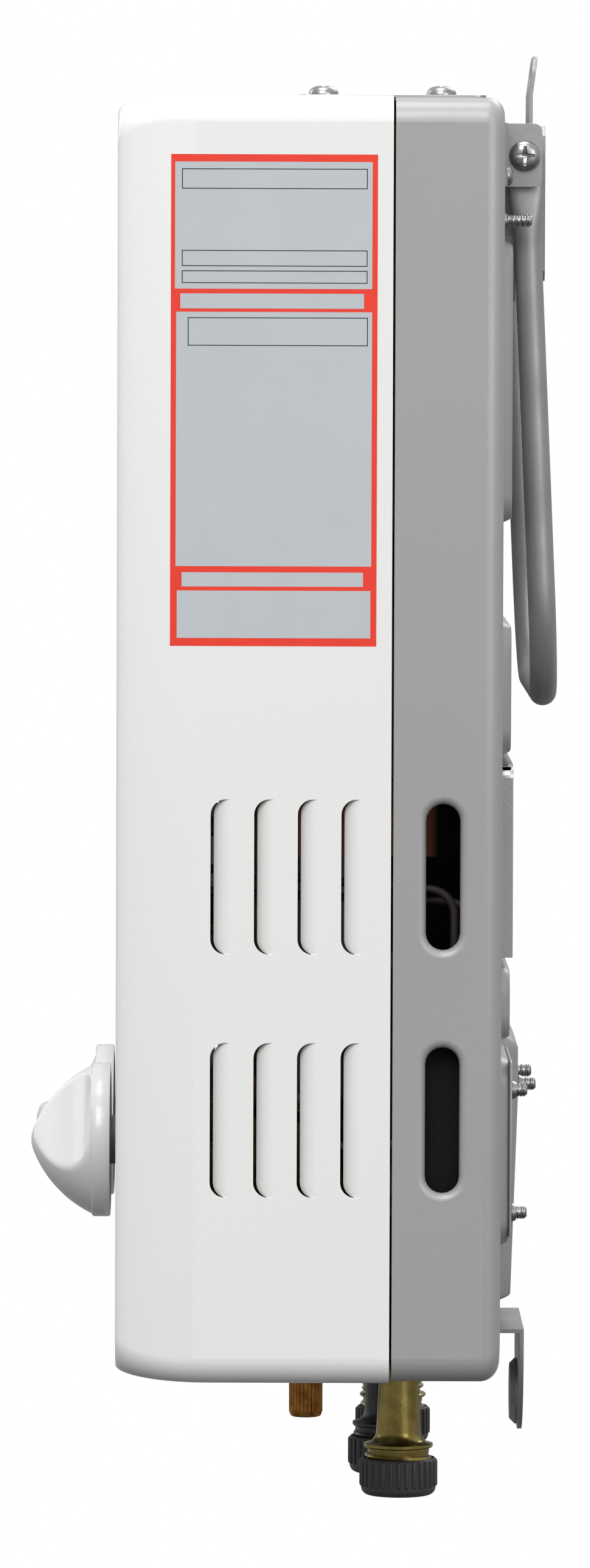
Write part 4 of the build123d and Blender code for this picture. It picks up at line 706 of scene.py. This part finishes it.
def flankCentre():
    # the flank's arc touches the nose's arc and runs out at the dome's edge
    noseZ = knob["depth"] - knob["nose"]
    edge, fall = knob["radius"] - knob["step"], noseZ - knob["skirt"]
    apart, reach = knob["flank"] - knob["nose"], hypot(edge, fall)
    along = (apart ** 2 - knob["flank"] ** 2 + reach ** 2) / (2 * reach)
    aside = sqrt(apart ** 2 - along ** 2)
    return (along * edge - aside * fall) / reach, noseZ - (along * fall + aside * edge) / reach


def knobHeight(x, y):
    out = min(hypot(x, y), knob["radius"] - knob["step"])
    flankX, flankZ = flankCentre()
    if out < -flankX * knob["nose"] / (knob["flank"] - knob["nose"]):
        height = knob["depth"] - knob["nose"] + sqrt(knob["nose"] ** 2 - out ** 2)
    else:
        height = flankZ + sqrt(knob["flank"] ** 2 - (out - flankX) ** 2)
    for side in sides:
        away = (x - side * (knob["gripHalf"] + knob["scoop"])) ** 2
        if away < knob["scoop"] ** 2:
            scooped = knob["depth"] + knob["rise"] - sqrt(knob["scoop"] ** 2 - away)
            height = smoothLower(height, scooped, knob["blend"])
    return height


def makeKnob(which, side):
    # rings from the crown outwards, then down the skirt and inside
    radius, across, count = knob["radius"], knob["across"], knob["rings"]
    outs = [(radius - knob["step"]) * sin(pi / 2 * n / count) for n in range(1, count + 1)]
    rings = [[(x, y, knobHeight(x, y)) for x, y in circleLoop(0, 0, out, across)] for out in outs]
    rings += turnedRings(knob["below"], across, height=upwards)
    shape = Shape(rings)
    shape.fan(0, across, (0, 0, knobHeight(0, 0)))
    seat = (side * knob["x"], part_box(which + "_knob")[1].y, drop(cover["knobDrop"]))
    place = (Matrix.Translation(seat) @ Matrix.Rotation(pi / 2, 4, "X")
             @ Matrix.Rotation(radians(knob["turns"][which]), 4, "Z"))
    shape.points = [place @ Vector(p) for p in shape.points]
    dress(which + "Knob", shape.mesh(which + "Knob"), "knobPlastic", which + "_knob",
          which + "_control", 50)


makeKnob("gas", -1)
makeKnob("water", 1)
print("knobs")

# carry handle
handle = {
    "rod": 4.15 * mm, "legX": 89.75 * mm, "length": 162.5 * mm, "bend": 32 * mm, "lean": 2.5,
    "pivotBehind": 7.0, "pivotDrop": 17.2,
    "eye": 6.2 * mm, "flat": 2.6 * mm, "paddle": 27 * mm, "paddleHalf": 6.1 * mm, "square": 1.2,
    "round": 28, "legSteps": 48, "bendSteps": 16, "endRound": 24, "endSteps": 4, "endTaper": 0.9,
}


def handlePath():
    # (point, direction, share of flatness) from one eye round to the other, in the hanging plane
    leg, low, bend, path = handle["legX"], -handle["length"], handle["bend"], []
    for n in range(handle["legSteps"] + 1):
        z = -n / handle["legSteps"] * (handle["length"] - bend)
        path.append(((leg, z), (0, -1), max(0.0, 1 + z / handle["paddle"])))
    for c, s in arcLoop(0, 0, 1, 0, -90, handle["bendSteps"])[1:]:
        path.append(((leg - bend + bend * c, low + bend + bend * s), (s, -c), 0.0))
    return path + [((-x, z), (dx, -dz), flat) for (x, z), (dx, dz), flat in reversed(path)]


def makeHandle():
    pivot = Vector((0, behind(handle["pivotBehind"]), drop(handle["pivotDrop"])))
    place = Matrix.Translation(pivot) @ Matrix.Rotation(radians(handle["lean"]), 4, "X")
    around, rings = handle["round"], []
    for (x, z), (dx, dz), flat in handlePath():
        flat = softStep(min(1.0, flat))
        thin = handle["rod"] + (handle["flat"] - handle["rod"]) * flat
        broad = handle["rod"] + (handle["paddleHalf"] - handle["rod"]) * flat
        power = 1 / (1 + handle["square"] * flat)    # squarer where the bar is pressed flat
        ring = []
        for c, s in circleLoop(0, 0, 1, around):
            u = copysign(abs(c) ** power, c) * thin
            v = copysign(abs(s) ** power, s) * broad
            ring.append(place @ Vector((x - dz * u, v, z + dx * u)))
        rings.append(ring)
    shape = Shape(rings)
    shape.lid(0, around)
    shape.lid(-around, around)
    around, steps = handle["endRound"], handle["endSteps"]
    for side in sides:                       # rounded ends of the paddles
        dome = []
        for n, (inwards, up) in enumerate(arcLoop(0, 0, 1, 0, 90, steps)):
            thin = handle["flat"] * (1 if n < steps else handle["endTaper"])
            broad, height = handle["paddleHalf"] * inwards, handle["eye"] * up
            dome.append([place @ Vector((side * handle["legX"] + c * thin, s * broad, height))
                         for c, s in circleLoop(0, 0, 1, around)])
        shape.stitch(dome)
        shape.lid(-around, around)
    dress("carryHandle", shape.mesh("carryHandle"), "greyZinc", "carry_handle", "handle", 50)


makeHandle()
print("carry handle")

# trees for rings of ribs, screw threads and placed screws
ringWeb = Web("ringOfRibs", Rib="Object", Count="Int", Place="Vector")
given = ringWeb.given
angle = ringWeb.put("GeometryNodeInputIndex") / given["Count"] * (2 * pi)
turned = ringWeb.put("FunctionNodeEulerToRotation", {0: ringWeb.vector(Z=angle)})
spots = ringWeb.line(given["Count"], given["Place"], (0.0, 0.0, 0.0))
ringWeb.close(ringWeb.merge(ringWeb.scatter("Rib", spots, Rotation=turned), given["Geometry"]))

# height of a ridge against the pitch, and how finely a turn and its section are cut
thread = {"ridge": 0.42, "turn": 40, "section": 6}
threadWeb = Web("screwThread", Radius="Float", Length="Float", Pitch="Float", Place="Vector")
given = threadWeb.given
ridge = given["Pitch"] * thread["ridge"]
inner = given["Radius"] - ridge
spiral = threadWeb.put("GeometryNodeCurveSpiral", {
    "Resolution": thread["turn"], "Rotations": given["Length"] / given["Pitch"], "Start Radius": inner,
    "End Radius": inner, "Height": given["Length"]})
section = threadWeb.put("GeometryNodeCurvePrimitiveCircle", {
    "Resolution": thread["section"], "Radius": ridge})
swept = threadWeb.put("GeometryNodeCurveToMesh", {
    "Curve": spiral, "Profile Curve": section, "Fill Caps": True})
threadWeb.close(threadWeb.merge(threadWeb.move(swept, Translation=given["Place"]), given["Geometry"]))

placeWeb = Web("placedScrews", Screw="Object")
aim = placeWeb.put("GeometryNodeInputNamedAttribute", {"Name": "aim"}, data_type="FLOAT_VECTOR")
facing = placeWeb.put("FunctionNodeAlignRotationToVector", {"Vector": aim}, axis="Z")
placeWeb.close(placeWeb.scatter("Screw", placeWeb.given["Geometry"], Rotation=facing))


def threaded(mesh, finishName, radius, length, pitch, place):
    # the mesh with a screw thread wound upwards from the place; the sizes are in millimetres
    return grow(threadWeb, mesh, finishName, Radius=radius * mm, Length=length * mm, Pitch=pitch * mm,
                Place=place)


# the end of a rib: (share of the taper, share of the height), and how square its section is
ribEnd = ((0.0, 0.0), (0.4, 0.75), (1.0, 1.0))
ribPower = 0.7


def ribbed(mesh, finishName, name, size, x, y):
    # the mesh with a ring of upright rounded ribs round (x, y)
    radius, (count, top, bottom, taper, height, half, sink) = size["radius"], size["ribs"]
    levels = [(top + taper * run, share) for run, share in ribEnd]
    levels += [(bottom - taper * run, share) for run, share in reversed(ribEnd)]
    rings = [[((radius - sink + (height + sink) * share * c ** ribPower) * mm, half * s * mm, drop(down))
              for c, s in arcLoop(0, 0, 1, -90, 180)] for down, share in levels]
    rib = bpy.data.objects.new(name, faceRight(Shape(rings, closed=False).mesh(name)))
    return grow(ringWeb, mesh, finishName, Rib=rib, Count=count, Place=(x, y, 0.0))


# fittings: profiles of (radius, drop) from the seat in the pan down to the bore and up inside
fitting = {
    "seat": ((3.5, 368.0), (7.65, 368.0), (8.0, 368.35), (8.0, 374.0), (5.6, 376.0)),
    "barrel": ((5.6, 382.5), (8.8, 382.5), (8.8, 408.3), (10.15, 408.3)),
    "neck": ((5.6, 382.0), (6.8, 404.5)), "flange": (10.5, 408.3), "flareSteps": 8,
    "nipple": ((10.5, 408.65), (10.5, 409.15), (10.15, 409.5), (9.4, 409.5), (9.4, 410.7), (9.2, 411.4),
               (9.2, 421.9), (8.5, 422.6), (7.0, 422.6), (7.0, 408.3), (3.5, 404.3), (3.5, 368.0)),
    # radius, lower and upper end
    "threads": ((10.3, 421.4, 411.6), (9.9, 407.4, 383.4)), "pitch": 1.81, "steps": 72,
}


def flaredNeck():
    # the neck widens into the flange by a quarter of an oval
    (base, start), (wide, end) = fitting["neck"][-1], fitting["flange"]
    profile = [*fitting["neck"]]
    for n in range(1, fitting["flareSteps"] + 1):
        share = n / fitting["flareSteps"]
        profile.append((base + (wide - base) * (1 - sqrt(1 - share ** 2)), start + (end - start) * share))
    return profile


def makeFitting(name):
    x, y = middle(name + "_fitting")[:2]
    barrel = name == "hot_outlet"
    finishName = "darkSteel" if name == "gas_inlet" else "brass"
    profile = [*fitting["seat"], *(fitting["barrel"] if barrel else flaredNeck()), *fitting["nipple"]]
    mesh = Shape(turnedRings(profile, fitting["steps"], x, y)).mesh(name + "Fitting")
    for radius, low, high in fitting["threads"][:2 if barrel else 1]:
        mesh = threaded(mesh, finishName, radius, low - high, fitting["pitch"], (x, y, drop(low)))
    dress(name + "Fitting", mesh, finishName, name + "_fitting", smooth=40)


for name in inlets:
    makeFitting(name)
print("fittings")

# ribbed caps
cap = {
    "radius": 11.4, "bottom": 424.0, "inside": 423.0, "steps": 60, "foot": (2.0, 424.0),
    "wall": ((10.4, 423.0), (10.4, 413.0), (10.6, 412.6), (11.0, 412.6), (11.4, 413.0)),
    "bend": (9.0, 421.6, 2.4),
    # how many, top, bottom, taper, height, half the width, sink
    "ribs": (30, 413.0, 421.4, 0.8, 0.55, 0.62, 0.1),
    "bodies": {"cold_inlet": "cold_cap", "hot_outlet": "hot_cap", "gas_inlet": "gas_cap"},
}


def makeCap(name):
    x, y = middle(name + "_cap")[:2]
    steps = cap["steps"]
    profile = [*cap["wall"], *arcLoop(*cap["bend"], 0, 90), cap["foot"]]
    shape = Shape(turnedRings(profile, steps, x, y))
    shape.fan(-steps, steps, (x, y, drop(cap["bottom"])))
    shape.fan(0, steps, (x, y, drop(cap["inside"])))
    mesh = ribbed(shape.mesh(name + "Cap"), "capPlastic", "capRib", cap, x, y)
    dress(name + "Cap", mesh, "capPlastic", name + "_cap", cap["bodies"][name], 40)


for name in inlets:
    makeCap(name)
print("caps")

# drain plug
plug = {
    "stem": 4.0, "radius": 4.9, "steps": 52, "pitch": 1.25, "threadLength": 13.0, "threadDrop": 371.8,
    "profile": ((0.5, 358.0), (3.3, 358.0), (3.3, 372.3), (4.6, 372.3), (4.9, 372.6), (4.9, 402.5),
                (4.6, 403.2), (3.9, 403.5), (2.6, 403.5), (2.4, 403.2), (0.5, 403.15)),
    "ribs": (26, 380.0, 402.4, 0.8, 0.3, 0.42, 0.1),
}


def makeDrainPlug():
    x, y = middle("drain_plug")[:2]
    shape = Shape(turnedRings(plug["profile"], plug["steps"], x, y))
    shape.lid(0, plug["steps"])
    shape.lid(-plug["steps"], plug["steps"])
    mesh = ribbed(shape.mesh("drainPlug"), "wornCopper", "plugRib", plug, x, y)
    mesh = threaded(mesh, "wornCopper", plug["stem"], plug["threadLength"], plug["pitch"],
                    (x, y, drop(plug["threadDrop"])))
    dress("drainPlug", mesh, "wornCopper", "drain_plug", "drain", 40)


makeDrainPlug()
print("drain plug")

# screws and studs
screw = {
    "exhaust": {"head": 4.5, "height": 2.7, "shaft": 1.9, "length": 7.0},
    "foot": {"head": 3.0, "height": 1.8, "shaft": 1.5, "length": 1.3},
    "pivot": {"head": 4.7, "height": 2.7, "shaft": 2.5, "length": 12.45,
              "nut": ((1.075, -9.15), (4.2, -9.15), (4.5, -9.45), (4.5, -11.85), (4.2, -12.15),
                      (1.075, -12.15))},
    "recess": 0.6, "recessWide": 0.14, "recessDeep": 0.62, "recessNarrowing": 0.3, "recessRise": 0.5,
    "pitch": 0.8, "core": 0.86, "runOut": 0.3, "threadGap": 0.1, "spread": 0.8, "crown": 3.2, "steps": 96,
    "rings": 26,
}
mount = {
    # screw, node, how far from the middle, places behind each other, height, direction on the right
    "exhaustScrews": ("exhaust", "exhaust_plate_screws", 99.8,
                      [coverHigh.y - 20.5 * mm, coverHigh.y + 14.8 * mm], drop(-0.8), (0, 0, 1)),
    "earScrews": ("foot", "ear_foot_screws", 104.0, [behind(1.5)], drop(23.3), (0, 1, 0)),
    "lowerScrews": ("foot", "lower_bracket_screws", 20.0, [behind(1.3)], drop(374.0), (0, 1, 0)),
    "pivotScrews": ("pivot", "handle_pivot_screws", 96.0, [behind(handle["pivotBehind"])],
                    drop(handle["pivotDrop"]), (1, 0, 0)),
}
stud = {
    "radius": 2.0, "core": 0.84, "length": 9.0, "pitch": 0.8, "chamfer": 0.5, "dimple": 0.2, "runOut": 0.6,
    # outside and then inside of the collar: (radius, height)
    "collar": ((1.7, 0.0), (2.7, 0.0), (2.8, 0.4), (2.3, 1.5), (1.7, 1.5)), "steps": 40,
    # how far from the middle, drop, seat on the left and on the right, tip
    "places": ((103.0, 36.6, 0.0, 0.0, 9.0), (96.0, 298.0, 3.5, 4.3, 9.0), (96.0, 335.0, 3.5, 4.3, 9.0),
               (25.0, 302.0, 8.0, 8.0, 13.5)),
}


def crossDepth(x, y, radius, height):
    # depth of the cross recess at a point of the head
    deepest = 0.0
    reach, wide = screw["recess"] * radius, screw["recessWide"] * radius
    for u, v in ((abs(x), abs(y)), (abs(y), abs(x))):
        if u < reach and v < wide * (1 - screw["recessNarrowing"] * u / reach):
            depth = height * screw["recessDeep"] * (1 - screw["recessRise"] * u / reach)
            deepest = max(deepest, depth)
    return deepest


def screwObject(name):
    # a pan-head screw at the origin: head up, seat at z 0
    size, steps, count = screw[name], screw["steps"], screw["rings"]
    radius, height, core = size["head"] * mm, size["height"] * mm, size["shaft"] * screw["core"]
    rings = []
    for n in range(1, count + 1):
        r = radius * sin(pi / 2 * n / count) ** screw["spread"]
        crown = height * (1 - (r / radius) ** screw["crown"]) ** 0.5
        rings.append([(x, y, crown - crossDepth(x, y, radius, height))
                      for x, y in circleLoop(0, 0, r, steps)])
    rings += turnedRings([(size["head"], 0.0), (core, 0.0), (core, -size["length"])], steps, height=upwards)
    shape = Shape(rings)
    shape.lid(-steps, steps)
    shape.fan(0, steps, (0, 0, height * (1 - screw["recessDeep"])))
    if "nut" in size:
        shape.stitch(turnedRings(size["nut"], 6, height=upwards))
    length = size["length"] - screw["runOut"]
    mesh = threaded(shape.mesh(name + "Screw"), "plated", size["shaft"], length, screw["pitch"],
                    (0.0, 0.0, -(length + screw["threadGap"]) * mm))
    return bpy.data.objects.new(name + "Screw", mesh)


def studObjects():
    # a threaded end with its tip at the origin, and the collar it comes through
    radius, steps, chamfer = stud["radius"], stud["steps"], stud["chamfer"]
    core, length = radius * stud["core"], stud["length"] - stud["runOut"]
    profile = ((stud["dimple"], 0.0), (core - chamfer, 0.0), (core, -chamfer), (core, -stud["length"]))
    end, collar = (Shape(turnedRings(rows, steps, height=upwards)) for rows in (profile, stud["collar"]))
    end.lid(0, steps)
    mesh = threaded(end.mesh("studEnd"), "plated", radius, length, stud["pitch"],
                    (0.0, 0.0, -(length + chamfer) * mm))
    return bpy.data.objects.new("studEnd", mesh), bpy.data.objects.new("collar", collar.mesh("collar"))


def placeScrews(name, screwThing, places, replaced=None):
    # places: (point, direction the head faces)
    seed = bpy.data.meshes.new(name + "Seed")
    seed.from_pydata([point for point, facing in places], [], [])
    aims = seed.attributes.new("aim", "FLOAT_VECTOR", "POINT")
    for n, (point, facing) in enumerate(places):
        aims.data[n].vector = facing
    mesh = grow(placeWeb, seed, "plated", Screw=screwThing)
    dress(name, mesh, "plated", replaced, smooth=32)


def makeScrews():
    screws = {kind: screwObject(kind) for kind in ("exhaust", "foot", "pivot")}
    for name, (kind, node, x, ys, z, (across, *level)) in mount.items():
        places = [((side * x * mm, y, z), (side * across, *level)) for side in sides for y in ys]
        placeScrews(name, screws[kind], places, node)
    tips, seats = [], []
    for x, down, left, right, tip in stud["places"]:
        for side, seat in zip(sides, (left, right)):
            for spots, reach in ((tips, tip), (seats, seat)):
                spots.append(((side * x * mm, behind(reach), drop(down)), (0, 1, 0)))
    end, collar = studObjects()
    placeScrews("studEnds", end, tips, "back_studs")
    placeScrews("studCollars", collar, seats)


makeScrews()
print("screws")

# pressed and bent sheet pieces with eased edges: finish, slot, width of the edge
polished = {
    "hanger_bracket": ("greyZinc", "zinc", 0.3), "handle_ears": ("greyZinc", "zinc", 0.3),
    "lower_bracket": ("greyZinc", "zinc", 0.3), "rear_shield": ("stainless", "stainless", 0.25),
    "rear_plate": ("stainless", "plate_alloy", 0.15), "exhaust_plate": ("stainless", "stainless", 0.12),
    # the chamber brackets take copper with painted shade below an edge and towards the back
    "window_bezel": ("chrome", "bezel_chrome", 0.4), "chamber_brackets": ("copperWithPaintedShade", "zinc", 0.2),
}


# joining distance in metres, flat and bent edges in degrees, steps over an edge
edging = {"merge": 2e-6, "flat": 0.6, "bent": 30, "segments": 2}


def polish(node, finishName, slotName, width):
    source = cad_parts[node]
    mesh = source.data.copy()
    mesh.transform(source.matrix_world)
    made = bmesh.new()
    made.from_mesh(mesh)
    bmesh.ops.remove_doubles(made, verts=made.verts, dist=edging["merge"])
    bmesh.ops.dissolve_limit(made, angle_limit=radians(edging["flat"]), verts=made.verts, edges=made.edges)
    made.to_mesh(mesh)
    made.free()
    mesh = applied(mesh, "BEVEL", width=width * mm, segments=edging["segments"], limit_method="ANGLE",
                   angle_limit=radians(edging["bent"]))
    first, *rest = node.split("_")
    dress(first + "".join(word.capitalize() for word in rest), mesh, finishName, node, flat=True)


for node, row in polished.items():
    polish(node, *row)
print("sheet pieces")

# camera, lights and floor
studio = {
    "distance": 3.0, "principal": (437, 458), "frame": (970, 2576), "pixel": 0.18 * mm, "nearDepth": 2.854,
    "rearPixel": 826.5, "topPixel": 158.5, "roll": 0.2, "reach": 1.002, "sensor": 36.0, "clip": 50,
    "sky": (0.12, 0.85), "skyBand": (-0.7, 0.7),
    "floor": -0.75, "floorReach": 2.0, "floorFade": (0.35, 0.98), "floorSteps": 96,
    "aim": (0, -0.05, -0.2),
    # place, size, power
    "lamps": {
        "keyLamp": ((2.4, -0.5, 1.7), 1.6, 51), "fillLamp": ((2.6, 1.6, 0.5), 1.6, 19),
        "frontLamp": ((-1.5, -2.3, 0.9), 1.6, 11), "backLamp": ((-2.2, 1.2, 1.8), 1.6, 26),
        "topLamp": ((0.2, -0.2, 2.4), 1.4, 26),
    },
}


def makeCamera():
    wide, high = studio["frame"]
    px, py = studio["principal"]
    pixel, depth = studio["pixel"], studio["nearDepth"]
    data = bpy.data.cameras.new("camera")
    data.sensor_width, data.clip_end = studio["sensor"], studio["clip"]
    data.lens = studio["reach"] * data.sensor_width * depth / (pixel * high)
    y, z = behind(0) + (px - studio["rearPixel"]) * pixel, topZ - (py - studio["topPixel"]) * pixel
    down, across = atan((high / 2 - py) * pixel / depth), atan((wide / 2 - px) * pixel / depth)
    camera = added("camera", data)
    camera.matrix_world = (Matrix.Translation((studio["distance"], y, z))
                           @ Matrix.Rotation(pi / 2 - across, 4, "Z")
                           @ Matrix.Rotation(pi / 2 - down, 4, "X")
                           @ Matrix.Rotation(radians(studio["roll"]), 4, "Z"))
    bpy.context.scene.camera = camera


def softLamp(name, place, size, power):
    data = bpy.data.lights.new(name, "AREA")
    data.shape, data.size, data.energy = "SQUARE", size, power
    lamp = added(name, data)
    lamp.location = place
    lamp.rotation_euler = (Vector(studio["aim"]) - Vector(place)).to_track_quat("-Z", "Y").to_euler()


def makeWorld():
    # white to the camera and through glass; for the rest a light that grows from below upwards
    world = bpy.data.worlds.new("studio")
    bpy.context.scene.world = world
    world.use_nodes = True
    tree = Tree(world.node_tree)
    back = world.node_tree.nodes["Background"].inputs
    tree.join((1, 1, 1), back[0])
    rays = [tree.put("ShaderNodeLightPath", output=ray) for ray in ("Is Camera Ray", "Is Transmission Ray")]
    seen = tree.put("ShaderNodeMath", dict(enumerate(rays)), operation="MAXIMUM")
    place = tree.put("ShaderNodeTexCoord", output="Generated")
    height = tree.put("ShaderNodeSeparateXYZ", {0: place}, "Z")
    ends = zip(("From Min", "From Max", "To Min", "To Max"), (*studio["skyBand"], *studio["sky"]))
    sky = tree.put("ShaderNodeMapRange", {"Value": height, **dict(ends)})
    tree.join(tree.put("ShaderNodeMapRange", {"Value": seen, "To Min": sky, "To Max": 1.0}), back["Strength"])


def makeFloor():
    # a round pale floor that fades out at its edge, clear of the main view
    reach, steps = studio["floorReach"], studio["floorSteps"]
    mesh = bpy.data.meshes.new("floor")
    points = [(x, y, studio["floor"]) for x, y in circleLoop(0, 0, reach, steps)]
    mesh.from_pydata(points, [], [tuple(range(steps))])
    floor = added("floor", mesh)
    paint = Paint("floorPaint", Roughness=0.9)
    paint.feed("Base Color", (0.8, 0.8, 0.8))
    away = (paint.axis("X") * paint.axis("X") + paint.axis("Y") * paint.axis("Y")) ** 0.5
    paint.feed("Alpha", 1.0 - paint.ramp(away, *(share * reach for share in studio["floorFade"])))
    mesh.materials.append(paint.material)
    floor.visible_diffuse = floor.visible_glossy = False


makeCamera()
makeWorld()
makeFloor()
for name, lamp in studio["lamps"].items():
    softLamp(name, *lamp)
bpy.context.scene.view_settings.view_transform = "Standard"
print("studio")
